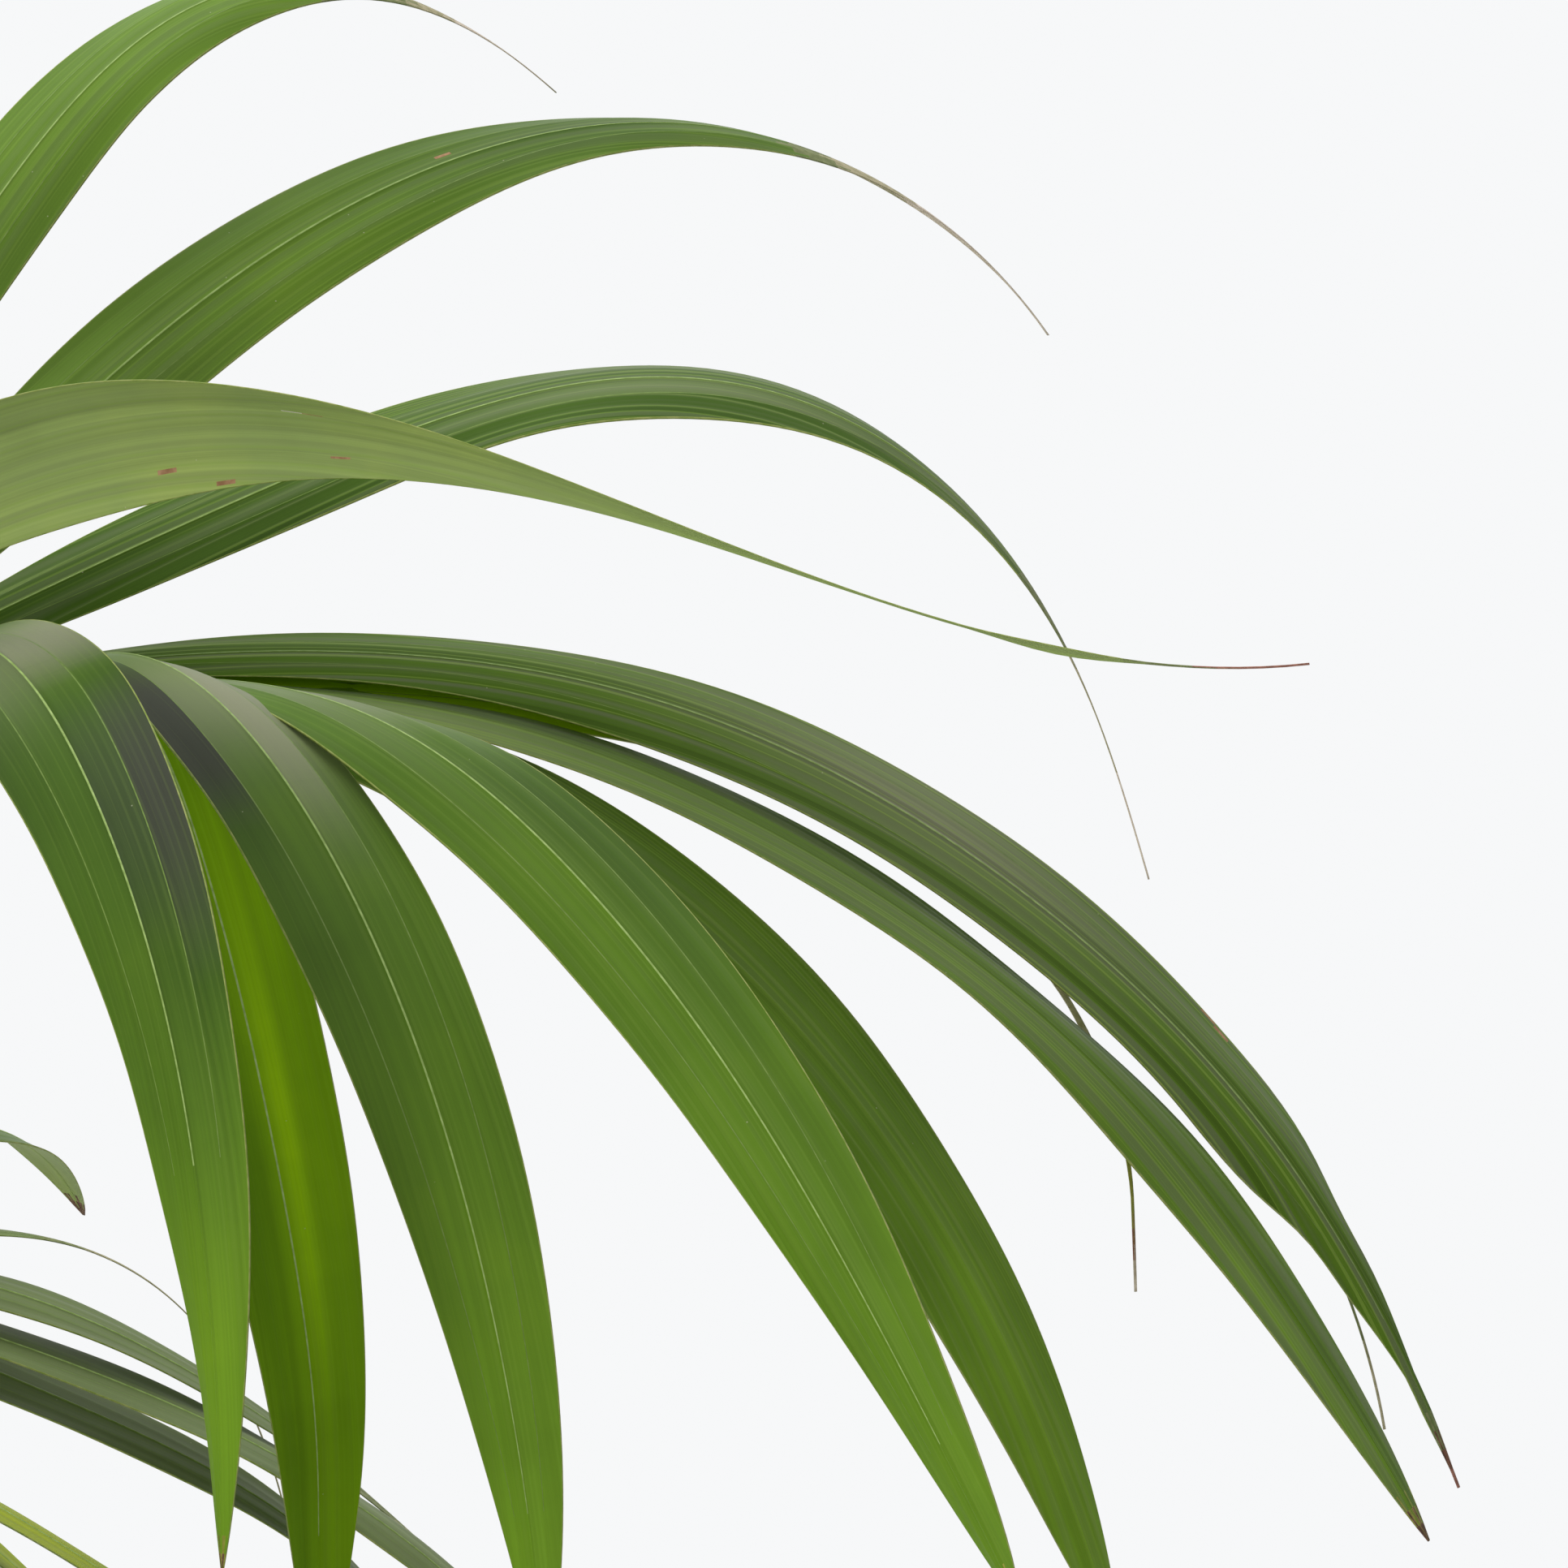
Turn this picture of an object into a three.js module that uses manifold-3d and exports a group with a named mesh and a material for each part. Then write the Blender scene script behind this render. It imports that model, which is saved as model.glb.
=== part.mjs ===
// A kentia palm in a plain round pot. Three short stems rise from the soil as one clump,
// and each carries arching fronds: a bare stalk, then a rib with a leaflet row on each side.
// Millimetres, +Z up, the origin in the middle of the pot's flat underside.
import * as THREE from 'three';
import { mergeVertices } from 'three/addons/utils/BufferGeometryUtils.js';
import Module from 'manifold-3d';

const wasm = await Module();
wasm.setup();

// Driving dimensions. Angles are in degrees, and azimuth 0 points along +X.
const GAP = 0.3;
const POT = { height: 280, mouth: 150, foot: 114, wall: 8, floor: 12, edge: 3, sides: 40 };
const SOIL_TOP = 248;
const STEM = { head: 412, flare: 23, neck: 14.5, waist: 13.5, scar: 0.7, scars: 3, sides: 12 };
const SEAT = { top: 430, sunk: 14, circle: 9, radius: 5.6, sides: 6 };
const STALK = { foot: 5.4, end: 4.4, steps: 6 };
const RIB = { end: 1.6, steps: 6, sides: 4 };
const SPEAR = { stem: 0, seat: 180, azimuth: 200, lean: 1, arch: 7, length: 640, power: 2, tip: 0.8 };
const COURSE_STEPS = 40;

const STEMS = [
  { name: 'stem_right', x: 33, y: 0 },
  { name: 'stem_front', x: -18, y: -30 },
  { name: 'stem_back', x: -18, y: 30 },
];

// A frond sits on stem number `stem`, on the side `seat` of its head. It leaves at `lean` from
// upright and bends by `arch` more on its way to the tip, the later the higher `power` is. Its
// stalk is bare up to the share `bare` of the length, and `pairs` leaflets follow on each side.
const FRONDS = [
  // name, stem, seat, azimuth, lean, arch, length, power, bare, leaflet, pairs
  ['right', 0, 0, 0, 3, 92, 1049, 2.4, 0.5, 460, 12],
  ['back_right', 2, 0, 20, 4, 86, 840, 2.1, 0.48, 400, 10],
  ['low_right', 1, -10, -40, 16, 104, 800, 1.9, 0.48, 380, 10],
  ['front_right', 0, -110, -82, 6, 86, 1000, 2.2, 0.5, 400, 11],
  ['front_left', 1, -105, -122, 10, 96, 940, 2, 0.5, 400, 11],
  ['left', 1, 165, -163, 5, 92, 1040, 2.2, 0.5, 430, 12],
  ['low_left', 2, 216, 168, 16, 100, 820, 1.9, 0.48, 380, 10],
  ['back_left', 2, 144, 133, 6, 88, 1020, 2.2, 0.5, 420, 12],
  ['back', 2, 72, 96, 10, 92, 960, 2.1, 0.5, 400, 11],
  ['low_back', 0, 110, 62, 18, 100, 780, 1.9, 0.48, 360, 10],
  ['top_left', 2, 288, 150, 1, 52, 1260, 2.4, 0.52, 400, 11],
  ['top_front', 1, 75, -110, 0, 42, 1170, 2.2, 0.54, 380, 10],
].map(([name, stem, seat, azimuth, lean, arch, length, power, bare, leaflet, pairs]) => (
  { name, stem, seat, azimuth, lean, arch, length, power, bare, leaflet, pairs }));

// The outer leaflets of two fronds, placed one by one: where they leave the rib (0 to 1), their
// heading and rise there, how far they sag, where the sag comes (0 to 1) and how suddenly, their
// size, their roll at root and tip, how they turn aside and how much of the sag they lose on the
// way, where they are widest (0 to 1) and how early they are drawn out to a thread
const RIGHT_LEAFLETS = [
  // t, heading, rise, sag, crest, snap, length, width, roll, rollEnd, curl, tail, widest, taper
  [0.758, 25, 58, 103.5, 0.81, 6.2, 383, 37, -65, -15, 4, 9, 0.6, 2.5],
  [0.832, 24, 46.5, 70.5, 0.91, 2.6, 476, 39, -70, -5, 11, -24, 0.4, 1.75],
  [0.852, -3, 25.5, 136.5, 0.78, 4.5, 446, 35, -75, 10, -4, 37, 0.5, 3.5],
  [0.965, 5, 1.5, 55.5, 0.95, 2.2, 390, 22, -50, -50, -1, -48, 0.3, 3.5],
  [0.975, 6, 3.5, 58, 0.87, 1.7, 459, 22, -50, -50, 0, -26, 0.4, 3],
  [0.92, 1.5, 7.5, 74.5, 0.95, 1.7, 508, 34, -45, -50, 2, -2, 0.75, 2.75],
  [0.927, 66, 2, 65.5, 0.22, 5.1, 402, 42, 0, 70, -2, -42, 0.45, 0.5],
  [0.715, -28.5, 35.5, 85.5, 0.53, 2.6, 520, 37, 92, 21.5, 13.5, 56, 0.32, 6],
  [0.882, -63, 24, 88.5, 0.45, 1.2, 381, 41, -20, -75, -2, -32, 0.35, 0.75],
  [0.966, -55, 15.5, 84.5, 0.4, 1.2, 385, 40.5, 15, -62, 0, -14.5, 0.32, 0.67],
  [0.992, -45, 0, 57, 0.45, 2, 425, 35, 15, -95, 0, 1.5, 0.37, 0.58],
  [0.986, -11, -10, 61, 0.57, 2.1, 406, 38, -45, -45, 1, -2, 0.55, 0.75],
  [0.998, -2, -2.5, 60.5, 0.78, 1.7, 450, 32, -20, -35, 0, 0, 0.7, 0.75],
];
const BACK_RIGHT_LEAFLETS = [
  [0.93, 20.5, 5, 88, 0.6, 5, 300, 22, -20, -25, 0, 0, 0.15, 16],
  [0.965, 14, -1.5, 49, 0.39, 2.4, 400, 22, -18, -18, 0, 0, 0.35, 7],
  [0.98, 8.5, -13, 43, 0.73, 2.2, 400, 26, -20, -20, 0, 0, 0.45, 3],
  [1, 12, -22.5, 78, 0.7, 4.5, 400, 27, -28, -28, 0, 0, 0.3, 3],
  [0.83, 46, 14, 63, 0.95, 6, 300, 24, -20, -20, 21, 0, 0.8, 0.75],
  [0.88, -24, -20.5, 63, 0.93, 5.3, 380, 24, 12, 12, 1.5, 0, 0.5, 1.5],
  [0.97, -28.5, -33, 68, 0.88, 5.2, 370, 26, 15, 15, 2, 0, 0.45, 1.2],
];

// On these fronds the rule's leaflets stop where the placed ones begin
const placed = (rows, from, steps) => ({
  from,
  leaflets: rows.map(([t, heading, rise, sag, crest, snap, length, width, roll, rollEnd, curl, tail,
    widest, taper]) => (
    { t, heading, rise, sag, crest, snap, length, width, roll, rollEnd, curl, tail, widest, taper,
      steps, given: true })),
});
const PLACED = { right: placed(RIGHT_LEAFLETS, 0.66, 5), back_right: placed(BACK_RIGHT_LEAFLETS, 0.76, 4) };

// A leaflet's line is worked out in fine steps and its solid takes some of them
const LEAFLET = {
  base: 0.13, widest: 0.45, power: 1.9, taper: 1.2, width: 36, keel: 0.0105, fine: 20, steps: 4,
  turn: 20,
};
const STEEPEST = -88;

// A leaflet that would meet another frond's piece, or lie in its neighbour, tries these changes
// of heading, sag and length in turn, and is left out when none is free
const TRIES = [[0, 0, 1], [6, 0, 1], [-6, 0, 1], [0, 10, 1], [0, -14, 1], [11, 6, 0.95], [-11, -8, 0.95],
  [0, 16, 0.8], [0, -10, 0.65]];

const COLOURS = { pot: 0xc9c4ba, soil: 0x3a2a1e, stem: 0x6b5a3a, stalk: 0x6f8f3c, frond: 0x2f5a1e };

const radians = THREE.MathUtils.degToRad;
const mix = THREE.MathUtils.lerp;

function wobble(a, b, c) {
  const x = Math.sin(a * 12.9898 + b * 78.233 + c * 37.719) * 43758.5453;
  return x - Math.floor(x);
}

// Manifold solids from three.js shapes, and back
function solid(shape) {
  shape.deleteAttribute('normal');
  shape.deleteAttribute('uv');
  const merged = mergeVertices(shape);
  return new wasm.Manifold(new wasm.Mesh({
    numProp: 3,
    vertProperties: merged.attributes.position.array,
    triVerts: Uint32Array.from(merged.index.array),
  }));
}

function mesh(name, body, colour) {
  const { vertProperties, triVerts } = body.getMesh();
  const geometry = new THREE.BufferGeometry();
  geometry.setAttribute('position', new THREE.BufferAttribute(vertProperties, 3));
  geometry.setIndex(new THREE.BufferAttribute(triVerts, 1));
  geometry.computeVertexNormals();
  const material = new THREE.MeshStandardMaterial({ color: colour, roughness: 0.6, metalness: 0 });
  const made = new THREE.Mesh(geometry, material);
  made.name = name;
  return made;
}

function turned(profile, sides) {
  const shape = new THREE.LatheGeometry(profile.map(([r, z]) => new THREE.Vector2(r, z)), sides);
  shape.rotateX(Math.PI / 2);
  return solid(shape);
}

// The directions that go with a heading and a pitch: onward, to the right, and square to both
function frameOf(heading, pitch) {
  const level = Math.cos(pitch);
  const onward = new THREE.Vector3(
    level * Math.cos(heading), level * Math.sin(heading), Math.sin(pitch));
  const right = new THREE.Vector3(Math.sin(heading), -Math.cos(heading), 0);
  return { onward, right, above: right.clone().cross(onward) };
}

// Each side face is split along its other diagonal. On a thin blade that turns back strongly, that
// diagonal bulges out, where the first one would fold in through the opposite wall
function flipDiagonals(index) {
  for (let i = 0; i + 5 < index.count; i += 3) {
    const [a, b, d, nextB, c, nextD] = [0, 1, 2, 3, 4, 5].map((k) => index.getX(i + k));
    if (b === nextB && d === nextD) {
      [a, b, c, a, c, d].forEach((corner, k) => index.setX(i + k, corner));
      i += 3;
    }
  }
}

// A cylinder or cone whose rows are moved onto stations along a line. Each station has a place,
// a frame, its half-sizes to the right and above, and how far the row is dropped.
function threaded(stations, sides, pointed, turnsBack = false) {
  const steps = stations.length - 1;
  const shape = new THREE.CylinderGeometry(pointed ? 0 : 1, 1, 1, sides, steps);
  if (turnsBack) {
    flipDiagonals(shape.index);
  }
  const corners = shape.attributes.position;
  const corner = new THREE.Vector3();
  for (let i = 0; i < corners.count; i += 1) {
    corner.fromBufferAttribute(corners, i);
    const row = Math.round((corner.y + 0.5) * steps);
    const radius = pointed ? Math.max(1 - row / steps, Number.EPSILON) : 1;
    const { place, right, above, wide, deep, dropped } = stations[row];
    const moved = place.clone()
      .addScaledVector(right, (-corner.x / radius) * wide)
      .addScaledVector(above, (-corner.z / radius) * deep - dropped);
    corners.setXYZ(i, moved.x, moved.y, moved.z);
  }
  return solid(shape);
}

// The line of a whole frond, from its seat to the rib's tip
function seatOf({ stem, seat }) {
  const angle = radians(seat);
  return new THREE.Vector3(
    STEMS[stem].x + SEAT.circle * Math.cos(angle),
    STEMS[stem].y + SEAT.circle * Math.sin(angle),
    SEAT.top);
}

function courseOf(frond) {
  const pitchAt = (s) => radians(90 - frond.lean - frond.arch * s ** frond.power);
  const azimuth = radians(frond.azimuth);
  const points = [seatOf(frond)];
  for (let i = 0; i < COURSE_STEPS; i += 1) {
    const { onward } = frameOf(azimuth, pitchAt((i + 0.5) / COURSE_STEPS));
    points.push(points[i].clone().addScaledVector(onward, frond.length / COURSE_STEPS));
  }
  return (s) => {
    const x = Math.min(Math.max(s, 0), 1) * COURSE_STEPS;
    const i = Math.min(Math.floor(x), COURSE_STEPS - 1);
    return { place: points[i].clone().lerp(points[i + 1], x - i), ...frameOf(azimuth, pitchAt(s)) };
  };
}

function limb(stations, radius, endRadius, sides) {
  const sized = stations.map((station, i) => {
    const size = mix(radius, endRadius, i / (stations.length - 1));
    return { ...station, wide: size, deep: size, dropped: 0 };
  });
  return threaded(sized, sides, false);
}

function stationsOf(course, from, to, steps) {
  return Array.from({ length: steps + 1 }, (unused, i) => course(mix(from, to, i / steps)));
}

// A place on the straight stretches between stations, where a leaflet's root is sunk
function placeAlong(stations, t) {
  const x = Math.min(Math.max(t, 0), 1) * (stations.length - 1);
  const i = Math.min(Math.floor(x), stations.length - 2);
  return stations[i].place.clone().lerp(stations[i + 1].place, x - i);
}

// Leaflets
function droop(s, crest, snap) {
  return ((1 + crest ** snap) * s ** snap) / (s ** snap + crest ** snap);
}

function leafletWidth(s, { widest, taper }) {
  if (s < widest) {
    return mix(LEAFLET.base, 1, 1 - (1 - s / widest) ** 2.2);
  }
  return (1 - ((s - widest) / (1 - widest)) ** LEAFLET.power) ** taper;
}

// The solid has two thin edges and a keel under its middle line
function leafletSolid(root, leaflet, firstStep) {
  const { heading, rise, sag, crest, snap, length, width, roll, rollEnd, curl, tail, steps } = leaflet;
  const frameAt = (s) => {
    const pitch = Math.max(STEEPEST, rise - sag * droop(s, crest, snap) + tail * s ** 4);
    return frameOf(radians(heading + curl * s), radians(pitch));
  };
  const place = root.clone();
  const stations = [];
  const stride = LEAFLET.fine / steps;
  for (let i = 0; i <= LEAFLET.fine; i += 1) {
    const s = i / LEAFLET.fine;
    if (i % stride === 0) {
      const { right, above } = frameAt(s);
      const angle = radians(mix(roll, rollEnd, s));
      const side = right.clone().multiplyScalar(Math.cos(angle)).addScaledVector(above, Math.sin(angle));
      const face = above.clone().multiplyScalar(Math.cos(angle)).addScaledVector(right, -Math.sin(angle));
      const keel = length * LEAFLET.keel * (1 - 0.6 * s);
      stations.push({
        place: place.clone(),
        right: side,
        above: face,
        wide: (width * leafletWidth(s, leaflet)) / Math.sqrt(3),
        deep: (keel * 2) / 3,
        dropped: keel / 3,
      });
    }
    place.addScaledVector(frameAt((i + 0.5) / LEAFLET.fine).onward, length / LEAFLET.fine);
  }
  return threaded(stations.slice(firstStep), 3, true, rollEnd < roll - LEAFLET.turn);
}

// The leaflets of the rule: near the stalk they stand square to the rib and rise, and towards
// the tip they swing forward and hang
function leafletsOf(frond, number) {
  const square = frond.name === 'right';
  const list = [];
  for (let pair = 0; pair < frond.pairs; pair += 1) {
    const t = mix(0.04, 0.985, (pair / (frond.pairs - 1)) ** 0.9);
    const shift = mix(0.022, 0.004, t);
    for (const side of [1, -1]) {
      const chance = (k) => wobble(number + 1, pair + 1, side * 0.5 + k) - 0.5;
      const spread = mix(square ? 94 : 80, 14, t ** (square ? 3 : 1.5)) + 8 * chance(0);
      const roll = -side * mix(48, 18, t);
      const reach = 0.74 + 0.26 * Math.sin(Math.PI * Math.min(1, 0.15 + t * 0.62));
      list.push({
        t: Math.max(t + side * shift, 0.02),
        heading: frond.azimuth + side * spread,
        rise: mix(42, 0, t ** 1.2) + 10 * chance(1),
        sag: mix(104, 74, t) + 14 * chance(2),
        crest: mix(0.46, 0.34, t) + 0.1 * chance(3),
        snap: mix(3.2, 2.2, t),
        length: frond.leaflet * reach * (1 + 0.12 * chance(4)) * (pair ? 1 : 0.8),
        width: LEAFLET.width * (pair ? 1 : 0.67),
        roll,
        rollEnd: roll * 0.4,
        curl: side * 6,
        tail: 0,
        widest: LEAFLET.widest,
        taper: LEAFLET.taper,
        steps: LEAFLET.steps,
      });
    }
  }
  const { from, leaflets } = PLACED[frond.name] ?? { from: 1, leaflets: [] };
  return [...leaflets, ...list.filter((leaflet) => leaflet.t < from)];
}

// Pieces that are in place already, with their boxes
const taken = [];

function take(owner, body) {
  taken.push({ owner, body, box: body.boundingBox() });
}

function boxesMeet(a, b) {
  return [0, 1, 2].every((k) => a.min[k] < b.max[k] && b.min[k] < a.max[k]);
}

function meets(body, pieces) {
  const box = body.boundingBox();
  return pieces.some((piece) => boxesMeet(box, piece.box) && !body.intersect(piece.body).isEmpty());
}

function growFrond(frond, number, { rib, stations }) {
  const name = `frond_${frond.name}`;
  const siblings = [];
  let blade = rib;
  for (const leaflet of leafletsOf(frond, number)) {
    const root = placeAlong(stations, leaflet.t);
    for (const [turn, bow, share] of leaflet.given ? TRIES.slice(0, 1) : TRIES) {
      const tried = { ...leaflet, heading: leaflet.heading + turn, sag: leaflet.sag + bow };
      tried.length *= share;
      const body = leafletSolid(root, tried, 0);
      const outer = leafletSolid(root, tried, 1);
      const blocked = meets(body, taken.filter((piece) => piece.owner !== name))
        || (!leaflet.given && meets(outer, siblings));
      if (!blocked) {
        take(name, body);
        siblings.push({ body: outer, box: outer.boundingBox() });
        blade = blade.add(body);
        break;
      }
    }
  }
  return mesh(name, blade, COLOURS.frond);
}

// The pot and its filling
function potWall(z) {
  return mix(POT.foot, POT.mouth, z / POT.height) - POT.wall;
}

function makePot() {
  const { height, mouth, foot, wall, floor, edge, sides } = POT;
  const profile = [[0, 0], [foot - edge, 0], [foot, edge], [mouth, height - edge], [mouth - edge, height],
    [mouth - wall + edge, height], [mouth - wall, height - edge], [potWall(floor), floor], [0, floor]];
  return turned(profile, sides);
}

function makeSoil() {
  const bottom = POT.floor + GAP;
  const profile = [[0, bottom], [potWall(bottom) - GAP, bottom],
    [potWall(SOIL_TOP) - GAP, SOIL_TOP], [0, SOIL_TOP]];
  return turned(profile, POT.sides);
}

// A stem swells to its root flare at the soil, and old leaf scars ring it
function makeStem(index) {
  const foot = SOIL_TOP + GAP;
  const profile = [[0, foot], [STEM.flare, foot], [STEM.flare - 4, foot + 10]];
  const scarGap = (STEM.head - foot - 30) / STEM.scars;
  for (let i = 0; i <= STEM.scars; i += 1) {
    const radius = mix(STEM.neck, STEM.waist, i / STEM.scars);
    const height = foot + 24 + i * scarGap;
    profile.push([radius + STEM.scar, height], [radius - STEM.scar, height + scarGap * 0.2]);
  }
  profile.push([STEM.waist - 2, STEM.head], [0, STEM.head]);
  const { x, y } = STEMS[index];
  let stem = turned(profile, STEM.sides).translate([x, y, 0]);
  for (const carried of [...FRONDS, SPEAR].filter((frond) => frond.stem === index)) {
    stem = stem.add(makeSeat(carried));
  }
  return stem;
}

// The sheathed foot of a stalk, which stays on the stem, cut square to the stalk
function makeSeat(frond) {
  const top = courseOf(frond)(0);
  top.place.addScaledVector(top.onward, -GAP);
  const bottom = frameOf(radians(frond.azimuth), Math.PI / 2);
  bottom.place = top.place.clone().setZ(STEM.head - SEAT.sunk);
  return limb([bottom, top], SEAT.radius, SEAT.radius, SEAT.sides);
}

const palm = new THREE.Group();

function add(name, body, colour) {
  take(name, body);
  palm.add(mesh(name, body, colour));
}

add('pot', makePot(), COLOURS.pot);
add('soil', makeSoil(), COLOURS.soil);
STEMS.forEach(({ name }, index) => add(name, makeStem(index), COLOURS.stem));
const spear = stationsOf(courseOf(SPEAR), 0, 1, STALK.steps);
add('spear', limb(spear, STALK.foot, SPEAR.tip, SEAT.sides), COLOURS.stalk);

const ribs = FRONDS.map((frond) => {
  const course = courseOf(frond);
  const bare = stationsOf(course, 0, frond.bare, STALK.steps);
  add(`stalk_${frond.name}`, limb(bare, STALK.foot, STALK.end, SEAT.sides), COLOURS.stalk);
  const stations = stationsOf(course, frond.bare + GAP / frond.length, 1, RIB.steps);
  const rib = limb(stations, STALK.end, RIB.end, RIB.sides);
  take(`frond_${frond.name}`, rib);
  return { rib, stations };
});
FRONDS.forEach((frond, number) => palm.add(growFrond(frond, number, ribs[number])));

export default palm;
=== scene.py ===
import math

import bmesh
import bpy
import numpy as np
from mathutils import Euler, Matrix, Vector, kdtree, noise


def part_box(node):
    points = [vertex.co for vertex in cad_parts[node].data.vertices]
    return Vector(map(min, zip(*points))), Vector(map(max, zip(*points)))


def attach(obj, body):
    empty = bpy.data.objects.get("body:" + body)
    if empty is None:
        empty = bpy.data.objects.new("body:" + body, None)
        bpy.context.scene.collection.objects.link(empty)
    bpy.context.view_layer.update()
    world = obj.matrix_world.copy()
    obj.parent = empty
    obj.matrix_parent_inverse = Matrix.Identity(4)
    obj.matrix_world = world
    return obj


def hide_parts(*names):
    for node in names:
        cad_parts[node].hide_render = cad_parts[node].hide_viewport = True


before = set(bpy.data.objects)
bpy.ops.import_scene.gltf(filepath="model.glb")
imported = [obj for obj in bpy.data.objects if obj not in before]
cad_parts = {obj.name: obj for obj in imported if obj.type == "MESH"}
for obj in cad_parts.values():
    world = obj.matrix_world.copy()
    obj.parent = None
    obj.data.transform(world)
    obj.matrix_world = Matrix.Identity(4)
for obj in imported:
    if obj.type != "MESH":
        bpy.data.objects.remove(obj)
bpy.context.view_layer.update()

# The pot: a plain tapered planter of matt stoneware, turned on a wheel, with a rounded
# rim and a flat underside. Its wall is spun from a profile whose corners are rounded.

POT_MOUTH, POT_FOOT = 0.150, 0.114
POT_WALL, POT_FLOOR = 0.008, 0.012
POT_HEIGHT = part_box("pot")[1].z
POT_ROUNDING, ROUNDING_SEGMENTS, POT_STEPS = 0.0028, 5, 128
WELD = 1e-6
CLAY, CLAY_WARM, CLAY_FLECK = (0.60, 0.57, 0.52), (0.66, 0.62, 0.56), (0.33, 0.29, 0.25)
MIX_SHARE, MIX_FIRST, MIX_SECOND, MIX_RESULT = 0, 6, 7, 2


def add(tree, kind, sockets=None, **settings):
    made = tree.nodes.new("ShaderNode" + kind)
    for key, value in settings.items():
        setattr(made, key, value)
    for key, value in (sockets or {}).items():
        if isinstance(value, bpy.types.NodeSocket):
            tree.links.new(value, made.inputs[key])
        else:
            made.inputs[key].default_value = value
    return made


def blended(tree, share, first, second):
    mixed = tree.nodes.new("ShaderNodeMix")
    mixed.data_type = "RGBA"
    for index, value in ((MIX_SHARE, share), (MIX_FIRST, first), (MIX_SECOND, second)):
        if isinstance(value, bpy.types.NodeSocket):
            tree.links.new(value, mixed.inputs[index])
        elif index == MIX_SHARE:
            mixed.inputs[index].default_value = value
        else:
            mixed.inputs[index].default_value = (*value, 1)
    return mixed.outputs[MIX_RESULT]


def ranged(tree, value, low, high, to_low=0.0, to_high=1.0):
    sockets = {"Value": value, "From Min": low, "From Max": high,
               "To Min": to_low, "To Max": to_high}
    return add(tree, "MapRange", sockets).outputs["Result"]


def maths(tree, operation, first, second=0.0):
    return add(tree, "Math", {0: first, 1: second}, operation=operation).outputs[0]


def material(name, colour, roughness):
    made = bpy.data.materials.new(name)
    made.use_nodes = True
    shader = made.node_tree.nodes["Principled BSDF"]
    shader.inputs["Base Color"].default_value = (*colour, 1)
    shader.inputs["Roughness"].default_value = roughness
    made.diffuse_color = (*colour, 1)
    return made, made.node_tree, shader


def noise_at(tree, place, scale, detail=3.0, stretch=(1, 1, 1)):
    mapped = add(tree, "Mapping", {"Vector": place, "Scale": stretch}).outputs["Vector"]
    sockets = {"Vector": mapped, "Scale": scale, "Detail": detail}
    return add(tree, "TexNoise", sockets).outputs["Fac"]


def object_place(tree):
    return add(tree, "TexCoord").outputs["Object"]


def painted(tree, shader, colour):
    tree.links.new(colour, shader.inputs["Base Color"])


def raised(tree, shader, height, strength, distance):
    bump = add(tree, "Bump", {"Height": height, "Strength": strength, "Distance": distance})
    tree.links.new(bump.outputs["Normal"], shader.inputs["Normal"])


def linked(name, data):
    made = bpy.data.objects.new(name, data)
    bpy.context.scene.collection.objects.link(made)
    return made


def piece(name, mesh, materials, slot, *replaced):
    made = linked(name, mesh)
    for each in materials:
        mesh.materials.append(each)
    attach(made, "root")
    if replaced:
        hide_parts(*replaced)


def finished_mesh(bm, name):
    bmesh.ops.remove_doubles(bm, verts=bm.verts, dist=WELD)
    bmesh.ops.recalc_face_normals(bm, faces=bm.faces)
    mesh = bpy.data.meshes.new(name)
    bm.to_mesh(mesh)
    bm.free()
    mesh.polygons.foreach_set("use_smooth", [True] * len(mesh.polygons))
    return mesh


def spun(profile, rounding, steps, cuts=0):
    bm = bmesh.new()
    corners = [bm.verts.new((radius, 0, height)) for radius, height in profile]
    for first, second in zip(corners, corners[1:]):
        bm.edges.new((first, second))
    if rounding:
        bmesh.ops.bevel(bm, geom=corners[1:-1], offset=rounding, segments=ROUNDING_SEGMENTS,
                        profile=0.5, affect="VERTICES", material=-1)
    if cuts:
        bmesh.ops.subdivide_edges(bm, edges=bm.edges, cuts=cuts)
    bmesh.ops.spin(bm, geom=bm.verts[:] + bm.edges[:], axis=(0, 0, 1), cent=(0, 0, 0),
                   angle=math.tau, steps=steps, use_merge=True)
    return bm


def pot_wall(height):
    return POT_FOOT + (POT_MOUTH - POT_FOOT) * height / POT_HEIGHT - POT_WALL


stoneware, tree, shader = material("stoneware", CLAY, 0.72)
place = object_place(tree)
cloud = ranged(tree, noise_at(tree, place, 5.0, 4.0), 0.35, 0.65)
fleck = ranged(tree, noise_at(tree, place, 420.0, 1.0), 0.66, 0.72)
turning = noise_at(tree, place, 60.0, 2.0, (0.15, 0.15, 6.0))
clay = blended(tree, fleck, blended(tree, cloud, CLAY, CLAY_WARM), CLAY_FLECK)
painted(tree, shader, clay)
grit = maths(tree, "MULTIPLY", turning, 0.6)
grit = maths(tree, "ADD", grit, noise_at(tree, place, 900.0, 2.0))
raised(tree, shader, grit, 0.35, 0.0006)

pot_profile = [(0, 0), (POT_FOOT, 0), (POT_MOUTH, POT_HEIGHT),
               (POT_MOUTH - POT_WALL, POT_HEIGHT), (pot_wall(POT_FLOOR), POT_FLOOR), (0, POT_FLOOR)]
pot_mesh = finished_mesh(spun(pot_profile, POT_ROUNDING, POT_STEPS, 1), "pot_body")
piece("pot_body", pot_mesh, [stoneware], "pot", "pot")

# The soil: dark compost that fills the pot to a finger below its rim, with shreds of bark
# and a few white grains of perlite lying on it. Its top is a spun disc pushed into crumbs.

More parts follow.
